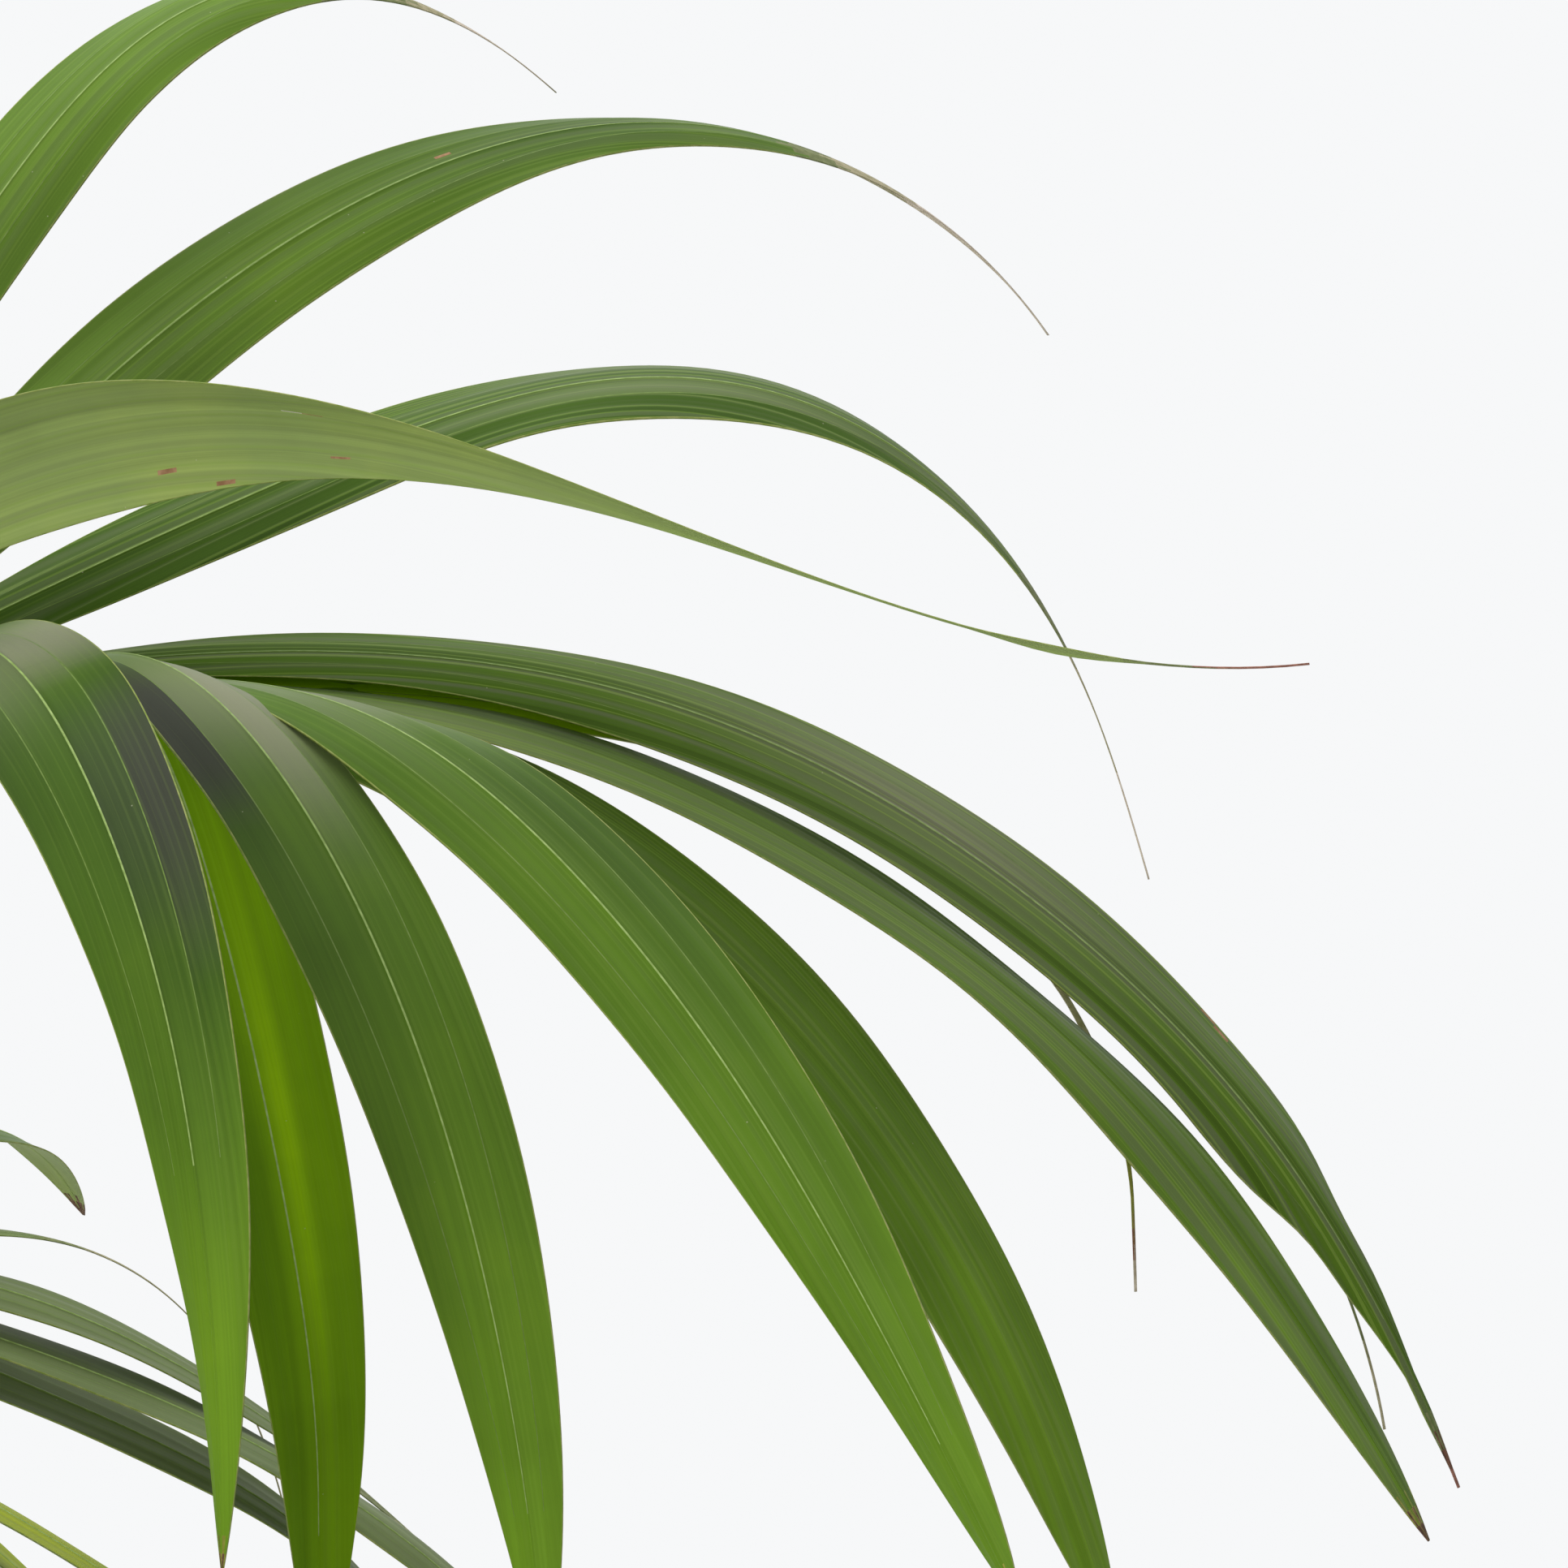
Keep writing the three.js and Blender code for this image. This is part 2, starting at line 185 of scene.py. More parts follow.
SOIL_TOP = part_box("soil")[1].z
SOIL_DEPTH, SOIL_CRUMB, SOIL_LIFT = 0.03, 0.0045, 0.001
SOIL_CLEAR, SOIL_BORDER, SOIL_MIDDLE = 0.0003, 0.001, 1e-7
SOIL_RINGS, SOIL_STEPS = 40, 160
CRUMB_FINE, CRUMB_COARSE = 210, 55
BARK_COUNT, BARK_SIZE = 420, (0.0135, 0.0065, 0.0034)
PERLITE_COUNT, PERLITE_SIZE = 90, (0.0034, 0.0030, 0.0028)
SCATTER_MARGIN, LUMP_ROUNDING, LUMP_TILT = 0.006, 0.22, 0.9
COMPOST, COMPOST_DRY = (0.018, 0.011, 0.007), (0.060, 0.038, 0.024)
BARK, BARK_DARK, BARK_LIGHT = (0.10, 0.055, 0.03), (0.045, 0.024, 0.014), (0.20, 0.115, 0.062)
PERLITE = (0.74, 0.72, 0.68)


def wobble(a, b, c):
    """A number from 0 to 1 that looks drawn at random and is the same each time."""
    x = math.sin(a * 12.9898 + b * 78.233 + c * 37.719) * 43758.5453
    return x - math.floor(x)


def crumbled(x, y):
    fine = noise.noise(Vector((x * CRUMB_FINE, y * CRUMB_FINE, 3.1)))
    coarse = noise.noise(Vector((x * CRUMB_COARSE, y * CRUMB_COARSE, 7.7)))
    return SOIL_TOP + SOIL_LIFT + SOIL_CRUMB * (0.45 * fine + 0.55 * coarse)


compost, tree, shader = material("compost", COMPOST, 0.95)
place = object_place(tree)
crumb = noise_at(tree, place, 260.0, 5.0)
painted(tree, shader, blended(tree, ranged(tree, crumb, 0.42, 0.68), COMPOST, COMPOST_DRY))
raised(tree, shader, crumb, 0.8, 0.003)

soil_bottom = SOIL_TOP - SOIL_DEPTH
soil_edge = pot_wall(SOIL_TOP) - SOIL_CLEAR
soil_foot = pot_wall(soil_bottom) - SOIL_CLEAR
bm = spun([(0, soil_bottom), (soil_foot, soil_bottom), (soil_edge, SOIL_TOP)], 0, SOIL_STEPS)
soil_upper = SOIL_TOP - SOIL_BORDER
rim = [edge for edge in bm.edges if edge.is_boundary and edge.verts[0].co.z > soil_upper]
for ring in range(1, SOIL_RINGS + 1):
    grown = bmesh.ops.extrude_edge_only(bm, edges=rim)["geom"]
    rim = [edge for edge in grown if isinstance(edge, bmesh.types.BMEdge) and edge.is_boundary]
    share = max(1 - ring / SOIL_RINGS, 0.0)
    for corner in {vert for edge in rim for vert in edge.verts}:
        corner.co.xy *= (soil_edge * share + SOIL_MIDDLE) / corner.co.xy.length
bmesh.ops.remove_doubles(bm, verts=bm.verts, dist=2 * WELD)
for corner in bm.verts:
    if corner.co.z > soil_upper and corner.co.xy.length < soil_edge - SOIL_BORDER:
        corner.co.z = crumbled(corner.co.x, corner.co.y)
piece("compost", finished_mesh(bm, "compost"), [compost], "soil", "soil")


def lump_template():
    bm = bmesh.new()
    bmesh.ops.create_cube(bm, size=1.0)
    bmesh.ops.bevel(bm, geom=bm.edges[:], offset=LUMP_ROUNDING, segments=1, profile=0.5,
                    affect="EDGES", material=-1)
    corners = np.array([vert.co for vert in bm.verts])
    faces = [[vert.index for vert in face.verts] for face in bm.faces]
    bm.free()
    return corners, faces


def scattered(name, count, seed, box):
    """Small lumps strewn on the compost and sunk a little into it, as one mesh."""
    corners, faces = lump_template()
    all_corners, all_faces = [], []
    for number in range(count):
        chance = [wobble(seed, number, k) for k in range(8)]
        radius = (soil_edge - SCATTER_MARGIN) * math.sqrt(chance[0])
        angle = math.tau * chance[1]
        x, y = radius * math.cos(angle), radius * math.sin(angle)
        size = np.array(box) * (0.55 + 0.9 * chance[2])
        tilt = Euler([(chance[3] - 0.5) * LUMP_TILT, (chance[4] - 0.5) * LUMP_TILT,
                      math.tau * chance[5]]).to_matrix()
        skew = corners + 0.16 * np.sin(corners[:, [1, 2, 0]] * (5 + 4 * chance[6]) + number)
        lifted = crumbled(x, y) + size[2] * 0.25
        all_faces += [[index + number * len(corners) for index in face] for face in faces]
        all_corners.append((skew * size) @ np.array(tilt).T + np.array([x, y, lifted]))
    mesh = bpy.data.meshes.new(name)
    mesh.from_pydata(np.concatenate(all_corners).tolist(), [], all_faces)
    return mesh


bark, tree, shader = material("bark", BARK, 0.9)
place = object_place(tree)
grain = noise_at(tree, place, 130.0, 4.0)
painted(tree, shader, blended(tree, ranged(tree, grain, 0.35, 0.7), BARK_DARK, BARK_LIGHT))
raised(tree, shader, noise_at(tree, place, 500.0, 4.0), 0.6, 0.001)
piece("bark_chips", scattered("bark_chips", BARK_COUNT, 5, BARK_SIZE), [bark], "soil")

perlite, tree, shader = material("perlite", PERLITE, 0.85)
raised(tree, shader, noise_at(tree, object_place(tree), 1500.0, 3.0), 0.7, 0.0006)
piece("perlite", scattered("perlite", PERLITE_COUNT, 9, PERLITE_SIZE), [perlite], "soil")

# The stems: three short canes that swell where they enter the soil, ringed by the scars of
# fallen leaves. Each is spun from its profile, and its bark is roughened by a noise.

STEM_HEAD, STEM_SUNK = 0.412, 0.006
STEM_FLARE, STEM_NECK, STEM_WAIST = 0.023, 0.0145, 0.0135
STEM_SCARS, SCAR_RIDGE, SCAR_SPREAD, SCAR_SWELL = 7, 0.0013, 0.07, 0.0005
STEM_STEPS, STEM_LEVELS = 48, 60
CROWN_RADIUS, CROWN_EDGE, CROWN_TOP = 0.004, 0.003, 0.0035
STEMS = [("stem_right", 0.033, 0.0), ("stem_front", -0.018, -0.030), ("stem_back", -0.018, 0.030)]
CANE, CANE_OLD, CANE_SCAR = (0.17, 0.15, 0.065), (0.12, 0.075, 0.036), (0.052, 0.032, 0.018)


def smoothed(value):
    value = min(max(value, 0.0), 1.0)
    return value * value * (3 - 2 * value)


def cane_radius(height):
    share = (height - SOIL_TOP) / (STEM_HEAD - SOIL_TOP)
    flare = (STEM_FLARE - STEM_NECK) * (1 - smoothed(share / 0.14)) ** 1.5
    scar_place = (share * STEM_SCARS) % 1.0
    ridge = SCAR_RIDGE * math.exp(-((scar_place - 0.5) / SCAR_SPREAD) ** 2)
    swell = SCAR_SWELL * math.sin(math.tau * scar_place)
    return STEM_NECK + (STEM_WAIST - STEM_NECK) * share + flare + ridge + swell


cane, tree, shader = material("cane", CANE, 0.7)
place = object_place(tree)
rings = noise_at(tree, place, 60.0, 3.0, (0.4, 0.4, 5.0))
husk = noise_at(tree, place, 30.0, 4.0, (4.0, 4.0, 0.5))
aged = blended(tree, ranged(tree, husk, 0.4, 0.62), CANE, CANE_OLD)
painted(tree, shader, blended(tree, ranged(tree, rings, 0.58, 0.7), aged, CANE_SCAR))
raised(tree, shader, maths(tree, "ADD", rings, husk), 0.5, 0.0015)

for name, stem_x, stem_y in STEMS:
    heights = [SOIL_TOP - STEM_SUNK + (STEM_HEAD - SOIL_TOP + STEM_SUNK) * level / STEM_LEVELS
               for level in range(STEM_LEVELS + 1)]
    outline = [(cane_radius(max(height, SOIL_TOP)), height) for height in heights]
    crown = [(CROWN_RADIUS, STEM_HEAD + CROWN_EDGE), (0, STEM_HEAD + CROWN_TOP)]
    bm = spun([(0, heights[0]), *outline, *crown], 0, STEM_STEPS)
    for corner in bm.verts:
        x, y, z = corner.co
        rough = noise.noise(Vector((x * 160, y * 160, z * 60 + stem_y * 90)))
        root = noise.noise(Vector((x * 70, y * 70, stem_x * 80)))
        low = 1 - smoothed((z - SOIL_TOP) / 0.03)
        corner.co.xy *= 1 + 0.035 * rough + 0.10 * low * root
        corner.co.x += stem_x
        corner.co.y += stem_y
    piece(f"{name}_cane", finished_mesh(bm, name), [cane], "stem", name)

# The leaf stalks and ribs: each frond is carried by a smooth green stalk whose foot clasps
# the stem, channelled on its inner side. It runs on as the frond's rib to the tip. A tube is
# threaded onto the frond's bent line.

# name, stem, seat, azimuth, lean, arch, length, power, bare, leaflet, pairs
FRONDS = [
    ("right", 0, 0, 0, 3, 92, 1.049, 2.4, 0.5, 0.460, 12),
    ("back_right", 2, 0, 20, 4, 86, 0.840, 2.1, 0.48, 0.400, 10),
    ("low_right", 1, -10, -40, 16, 104, 0.800, 1.9, 0.48, 0.380, 10),
    ("front_right", 0, -110, -82, 6, 86, 1.000, 2.2, 0.5, 0.400, 11),
    ("front_left", 1, -105, -122, 10, 96, 0.940, 2, 0.5, 0.400, 11),
    ("left", 1, 165, -163, 5, 92, 1.040, 2.2, 0.5, 0.430, 12),
    ("low_left", 2, 216, 168, 16, 100, 0.820, 1.9, 0.48, 0.380, 10),
    ("back_left", 2, 144, 133, 6, 88, 1.020, 2.2, 0.5, 0.420, 12),
    ("back", 2, 72, 96, 10, 92, 0.960, 2.1, 0.5, 0.400, 11),
    ("low_back", 0, 110, 62, 18, 100, 0.780, 1.9, 0.48, 0.360, 10),
    ("top_left", 2, 288, 150, 1, 52, 1.260, 2.4, 0.52, 0.400, 11),
    ("top_front", 1, 75, -110, 0, 42, 1.170, 2.2, 0.54, 0.380, 10),
]
SPEAR = ("spear", 0, 180, 200, 1, 7, 0.640, 2, 1.0, 0, 0)
SEAT_TOP, SEAT_CIRCLE = 0.430, 0.009
STALK_FOOT, STALK_END, RIB_END = 0.0054, 0.0044, 0.0016
SHEATH_DROP, SHEATH_LENGTH, SHEATH_WIDE = 0.075, 0.14, 0.0125
COURSE_STEPS, RIB_OVERLAP = 40, 0.0005
STALK_SIDES, STALK_ROWS, RIB_SIDES, RIB_ROWS = 20, 64, 12, 40
STALK_GREEN, STALK_PALE = (0.105, 0.19, 0.035), (0.24, 0.33, 0.085)
STALK_SCURF = (0.09, 0.055, 0.03)


def frame_of(heading, pitch):
    level = math.cos(pitch)
    onward = np.array([level * math.cos(heading), level * math.sin(heading), math.sin(pitch)])
    right = np.array([math.sin(heading), -math.cos(heading), 0.0])
    return onward, right, np.cross(right, onward)


class Course:
    """The bent line of a whole frond, from its seat on the stem to the tip of its rib."""

    def __init__(self, row):
        _, stem, seat, azimuth, self.lean, self.arch, self.length, self.power = row[:8]
        angle = math.radians(seat)
        self.azimuth = math.radians(azimuth)
        self.points = [np.array([STEMS[stem][1] + SEAT_CIRCLE * math.cos(angle),
                                 STEMS[stem][2] + SEAT_CIRCLE * math.sin(angle), SEAT_TOP])]
        for step in range(COURSE_STEPS):
            onward = self.directions((step + 0.5) / COURSE_STEPS)[0]
            self.points.append(self.points[-1] + onward * self.length / COURSE_STEPS)

    def directions(self, share):
        pitch = 90 - self.lean - self.arch * max(share, 0.0) ** self.power
        return frame_of(self.azimuth, math.radians(pitch))

    def place(self, share):
        if share < 0:
            return self.points[0] + np.array([0.0, 0.0, share * self.length])
        along = min(share, 1.0) * COURSE_STEPS
        step = min(int(along), COURSE_STEPS - 1)
        return self.points[step] + (self.points[step + 1] - self.points[step]) * (along - step)


def tube(sides, rows):
    """An upright tube of radius 1 and height 1, closed at both ends."""
    bm = bmesh.new()
    bmesh.ops.create_cone(bm, cap_ends=True, segments=sides, radius1=1, radius2=1, depth=1)
    uprights = [edge for edge in bm.edges if abs(edge.verts[0].co.z - edge.verts[1].co.z) > 0.5]
    bmesh.ops.subdivide_edges(bm, edges=uprights, cuts=rows - 1)
    return bm


def threaded(bm, course, start, end, section):
    """Bends an upright tube of height 1 onto a course. section gives a corner's two offsets."""
    for corner in bm.verts:
        share = start + (end - start) * (corner.co.z + 0.5)
        _, right, above = course.directions(share)
        across, up = section(share, corner.co.x, corner.co.y)
        corner.co = Vector(course.place(share) + right * across + above * up)


def stalk_section(course, bare):
    def section(share, x, y):
        below = max(share, -SHEATH_DROP) * course.length
        clasp = 1 - smoothed((below + SHEATH_DROP) / SHEATH_LENGTH)
        radius = STALK_FOOT + (STALK_END - STALK_FOOT) * min(max(share / bare, 0), 1)
        wide = radius * 1.12 + (SHEATH_WIDE - radius) * clasp
        deep = radius * 0.92 * (1 - 0.35 * clasp)
        channel = radius * (0.42 + 0.5 * clasp) * math.exp(-(x / 0.55) ** 2) * max(y, 0)
        return x * wide, y * deep - channel + radius * 0.9 * clasp * x * x
    return section


def rib_section(bare):
    def section(share, x, y):
        along = (share - bare) / (1 - bare)
        radius = STALK_END + (RIB_END - STALK_END) * along
        ridge = radius * 0.35 * math.exp(-(x / 0.3) ** 2) * max(y, 0)
        groove = 1 - 0.22 * math.exp(-((y - 0.25) / 0.3) ** 2)
        return x * radius * 1.1 * groove, y * radius + ridge
    return section


stalk_skin, tree, shader = material("stalk_skin", STALK_GREEN, 0.42)
place = object_place(tree)
fibre = noise_at(tree, place, 42.0, 4.0, (6.0, 6.0, 0.5))
scurf = ranged(tree, noise_at(tree, place, 220.0, 3.0), 0.66, 0.74)
shade = blended(tree, ranged(tree, fibre, 0.35, 0.68), STALK_GREEN, STALK_PALE)
painted(tree, shader, blended(tree, scurf, shade, STALK_SCURF))
raised(tree, shader, fibre, 0.25, 0.0005)
courses = {row[0]: Course(row) for row in FRONDS}

for row in FRONDS:
    name, bare = row[0], row[8]
    course = courses[name]
    bm = tube(STALK_SIDES, STALK_ROWS)
    threaded(bm, course, -SHEATH_DROP / course.length, bare, stalk_section(course, bare))
    mesh = finished_mesh(bm, f"petiole_{name}")
    piece(f"petiole_{name}", mesh, [stalk_skin], "stalk", f"stalk_{name}")
    bm = tube(RIB_SIDES, RIB_ROWS)
    threaded(bm, course, bare - RIB_OVERLAP, 1.0, rib_section(bare))
    mesh = finished_mesh(bm, f"rib_{name}")
    piece(f"rib_{name}", mesh, [stalk_skin], "frond", f"frond_{name}")

# The spear: the newest leaf, still folded shut round itself, standing up from the right stem.
# It is a slim tube whose section is pinched into the folded leaflets' pleats.

SPEAR_PLEATS, SPEAR_FOOT, SPEAR_TIP = 7, 0.0054, 0.0008
SPEAR_SIDES, SPEAR_ROWS, SPEAR_SUNK, SPEAR_TWIST = 42, 90, -0.02, 1.6
SPEAR_GREEN, SPEAR_DEEP, SPEAR_PALE = (0.20, 0.33, 0.07), (0.15, 0.28, 0.05), (0.30, 0.43, 0.12)


def spear_section(share, x, y):
    share = max(share, 0.0)
    swell = SPEAR_FOOT * (1 + 0.25 * math.sin(math.pi * min(share * 1.4, 1)))
    radius = swell + (SPEAR_TIP - swell) * share ** 1.6
    angle = math.atan2(y, x) + SPEAR_TWIST * share
    pleat = 1 + 0.10 * math.sin(angle * SPEAR_PLEATS) * smoothed(share * 5)
    return x * radius * pleat, y * radius * pleat


spear_skin, tree, shader = material("spear_skin", SPEAR_GREEN, 0.4)
place = object_place(tree)
fold = noise_at(tree, place, 60.0, 3.0, (6.0, 6.0, 0.3))
painted(tree, shader, blended(tree, ranged(tree, fold, 0.35, 0.68), SPEAR_DEEP, SPEAR_PALE))
raised(tree, shader, fold, 0.25, 0.0004)
bm = tube(SPEAR_SIDES, SPEAR_ROWS)
threaded(bm, Course(SPEAR), SPEAR_SUNK, 1.0, spear_section)
piece("spear_leaf", finished_mesh(bm, "spear_leaf"), [spear_skin], "stalk", "spear")

# The leaflets: long drooping blades, a thin sheet each, with a raised pale midrib, finer side
# veins, a yellow-green edge and a withered tip that is drawn out to a thread. A grid shaped
# once is laid along each leaflet's line, and a frond's leaflets are joined.

LEAF_BASE, LEAF_WIDEST, LEAF_WIDTH = 0.13, 0.45, 0.036
LEAF_SWELL, LEAF_POWER, LEAF_TAPER = 2.2, 1.9, 1.2
LEAF_THICK, THREAD_HALF, THREAD_FINER = 0.0005, 0.0006, 0.25
LINE_STEPS, STEEPEST = 20, -88.0
EDGE_FROM, VEIN_AT, VEIN_HALF, UPPER_FROM, TWIN_NEAR = 0.974, 0.4825, 0.009, 0.75, 1e-4
MIDRIB_HIGH, MIDRIB_SPREAD = 0.00045, 0.022
GROOVE_AT, GROOVE_SPREAD, GROOVE_SHARE = 0.065, 0.035, 0.35
ROOT_FOLD, PLEATS_FULL, LONG_WAVE, EDGE_WAVE = 0.10, 0.12, 0.0010, 0.0005
# how a frond's leaflets change from its first pair to its last
ROOTS, PAIR_SHIFT, SPREAD, RIGHT_SPREAD = (0.04, 0.985), (0.022, 0.004), (80, 14), (94, 14)
ROLL, RISE, SAG, CREST, SNAP = (48, 18), (42, 0), (104, 74), (0.46, 0.34), (3.2, 2.2)
FIRST_SHORTER, FIRST_NARROWER = 0.8, 0.67
# the stances that a leaflet may take: turned, bowed, shortened
TRIES = [(0, 0, 1), (6, 0, 1), (-6, 0, 1), (0, 10, 1), (0, -14, 1), (11, 6, 0.95), (-11, -8, 0.95),
         (0, 16, 0.8), (0, -10, 0.65)]
# t, heading, rise, sag, crest, snap, length, width, roll, roll_end, curl, tail, widest, taper
RIGHT_LEAFLETS = [
    (0.758, 25, 58, 103.5, 0.81, 6.2, 0.383, 0.037, -65, -15, 4, 9, 0.6, 2.5),
    (0.832, 24, 46.5, 70.5, 0.91, 2.6, 0.476, 0.039, -70, -5, 11, -24, 0.4, 1.75),
    (0.852, -3, 25.5, 136.5, 0.78, 4.5, 0.446, 0.035, -75, 10, -4, 37, 0.5, 3.5),
    (0.965, 5, 1.5, 55.5, 0.95, 2.2, 0.390, 0.022, -50, -50, -1, -48, 0.3, 3.5),
    (0.975, 6, 3.5, 58, 0.87, 1.7, 0.459, 0.022, -50, -50, 0, -26, 0.4, 3),
    (0.92, 1.5, 7.5, 74.5, 0.95, 1.7, 0.508, 0.034, -45, -50, 2, -2, 0.75, 2.75),
    (0.927, 66, 2, 65.5, 0.22, 5.1, 0.402, 0.042, 0, 70, -2, -42, 0.45, 0.5),
    (0.715, -28.5, 35.5, 85.5, 0.53, 2.6, 0.520, 0.037, 92, 21.5, 13.5, 56, 0.32, 6),
    (0.882, -63, 24, 88.5, 0.45, 1.2, 0.381, 0.041, -20, -75, -2, -32, 0.35, 0.75),
    (0.966, -55, 15.5, 84.5, 0.4, 1.2, 0.385, 0.0405, 15, -62, 0, -14.5, 0.32, 0.67),
    (0.992, -45, 0, 57, 0.45, 2, 0.425, 0.035, 15, -95, 0, 1.5, 0.37, 0.58),
    (0.986, -11, -10, 61, 0.57, 2.1, 0.406, 0.038, -45, -45, 1, -2, 0.55, 0.75),
    (0.998, -2, -2.5, 60.5, 0.78, 1.7, 0.450, 0.032, -20, -35, 0, 0, 0.7, 0.75),
]
BACK_RIGHT_LEAFLETS = [
    (0.93, 20.5, 5, 88, 0.6, 5, 0.300, 0.022, -20, -25, 0, 0, 0.15, 16),
    (0.965, 14, -1.5, 49, 0.39, 2.4, 0.400, 0.022, -18, -18, 0, 0, 0.35, 7),
    (0.98, 8.5, -13, 43, 0.73, 2.2, 0.400, 0.026, -20, -20, 0, 0, 0.45, 3),
    (1, 12, -22.5, 78, 0.7, 4.5, 0.400, 0.027, -28, -28, 0, 0, 0.3, 3),
    (0.83, 46, 14, 63, 0.95, 6, 0.300, 0.024, -20, -20, 21, 0, 0.8, 0.75),
    (0.88, -24, -20.5, 63, 0.93, 5.3, 0.380, 0.024, 12, 12, 1.5, 0, 0.5, 1.5),
    (0.97, -28.5, -33, 68, 0.88, 5.2, 0.370, 0.026, 15, 15, 2, 0, 0.45, 1.2),
]
PLACED = {"right": (0.66, RIGHT_LEAFLETS), "back_right": (0.76, BACK_RIGHT_LEAFLETS)}
RIB_STEPS, TIP_DROP, TIP_NEAR = 6, 0.0014, 0.0001


def mix(a, b, share):
    return a + (b - a) * share


class Leaflet:
    """One blade: its heading and rise at the root, and how it sags, rolls and narrows."""

    def __init__(self, heading, rise, sag, crest, snap, length, width, roll, roll_end, curl,
                 tail=0.0, widest=LEAF_WIDEST, taper=LEAF_TAPER):
        self.heading, self.rise, self.sag = heading, rise, sag
        self.crest, self.snap, self.curl, self.tail = crest, snap, curl, tail
        self.length, self.width = length, width
        self.roll, self.roll_end = roll, roll_end
        self.widest, self.taper = widest, taper

    def directions(self, share):
        power = share ** self.snap
        droop = (1 + self.crest ** self.snap) * power / (power + self.crest ** self.snap)
        pitch = max(STEEPEST, self.rise - self.sag * droop + self.tail * share ** 4)
        return frame_of(math.radians(self.heading + self.curl * share), math.radians(pitch))

    def line(self, root, steps):
        places = [np.array(root)]
        for step in range(steps):
            onward = self.directions((step + 0.5) / steps)[0]
            places.append(places[-1] + onward * self.length / steps)
        return np.array(places)

    def rolled(self, share):
        _, right, above = self.directions(share)
        angle = math.radians(mix(self.roll, self.roll_end, share))
        side = math.cos(angle) * right + math.sin(angle) * above
        face = math.cos(angle) * above - math.sin(angle) * right
        return side, face

    def half_width(self, along):
        grown = 1 - (1 - np.minimum(along / self.widest, 1)) ** LEAF_SWELL
        rising = LEAF_BASE + (1 - LEAF_BASE) * grown
        past = np.maximum(along - self.widest, 0) / (1 - self.widest)
        falling = (1 - np.minimum(past, 1) ** LEAF_POWER) ** self.taper
        return self.width / 2 * np.minimum(rising, falling)


def rule_leaflets(row, number):
    """The leaflets that follow the rule, as (place along the rib, leaflet)."""
    name, azimuth, longest, pairs = row[0], row[3], row[9], row[10]
    found = []
    for pair in range(pairs):
        t = mix(*ROOTS, (pair / (pairs - 1)) ** 0.9)
        for side in (1, -1):
            chance = [wobble(number + 1, pair + 1, side * 0.5 + k) - 0.5 for k in range(5)]
            spread = mix(*RIGHT_SPREAD, t ** 3) if name == "right" else mix(*SPREAD, t ** 1.5)
            spread += 8 * chance[0]
            roll = -side * mix(*ROLL, t)
            reach = 0.74 + 0.26 * math.sin(math.pi * min(1, 0.15 + t * 0.62))
            length = longest * reach * (1 + 0.12 * chance[4]) * (1 if pair else FIRST_SHORTER)
            found.append((max(t + side * mix(*PAIR_SHIFT, t), 0.02), Leaflet(
                azimuth + side * spread, mix(*RISE, t ** 1.2) + 10 * chance[1],
                mix(*SAG, t) + 14 * chance[2], mix(*CREST, t) + 0.1 * chance[3],
                mix(*SNAP, t), length, LEAF_WIDTH * (1 if pair else FIRST_NARROWER),
                roll, roll * 0.4, side * 6)))
    return found


def rib_place(course, bare, t):
    """A place on the straight stretches of the solid rib, where the roots are sunk."""
    start = bare + 0.0003 / course.length
    along = min(max(t, 0), 1) * RIB_STEPS
    step = min(int(along), RIB_STEPS - 1)
    ends = [course.place(mix(start, 1, (step + k) / RIB_STEPS)) for k in (0, 1)]
    return ends[0] + (ends[1] - ends[0]) * (along - step)


def grown_leaflets(row, number):
    """The rule's leaflets that the frond's solid has, each in the stance that it took there."""
    course, bare = courses[row[0]], row[8]
    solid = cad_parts[f"frond_{row[0]}"].data.vertices
    tips = kdtree.KDTree(len(solid))
    for index, corner in enumerate(solid):
        tips.insert(corner.co, index)
    tips.balance()
    found = []
    for t, leaf in rule_leaflets(row, number):
        if t >= PLACED.get(row[0], (1, []))[0]:
            continue
        heading, sag, length = leaf.heading, leaf.sag, leaf.length
        for turned, bow, share in TRIES:
            leaf.heading, leaf.sag, leaf.length = heading + turned, sag + bow, length * share
            tip = leaf.line(rib_place(course, bare, t), LINE_STEPS)[-1]
            tip -= leaf.rolled(1.0)[1] * leaf.length * TIP_DROP
            if tips.find(Vector(tip))[2] < TIP_NEAR:
                found.append((t, leaf))
                break
    return found


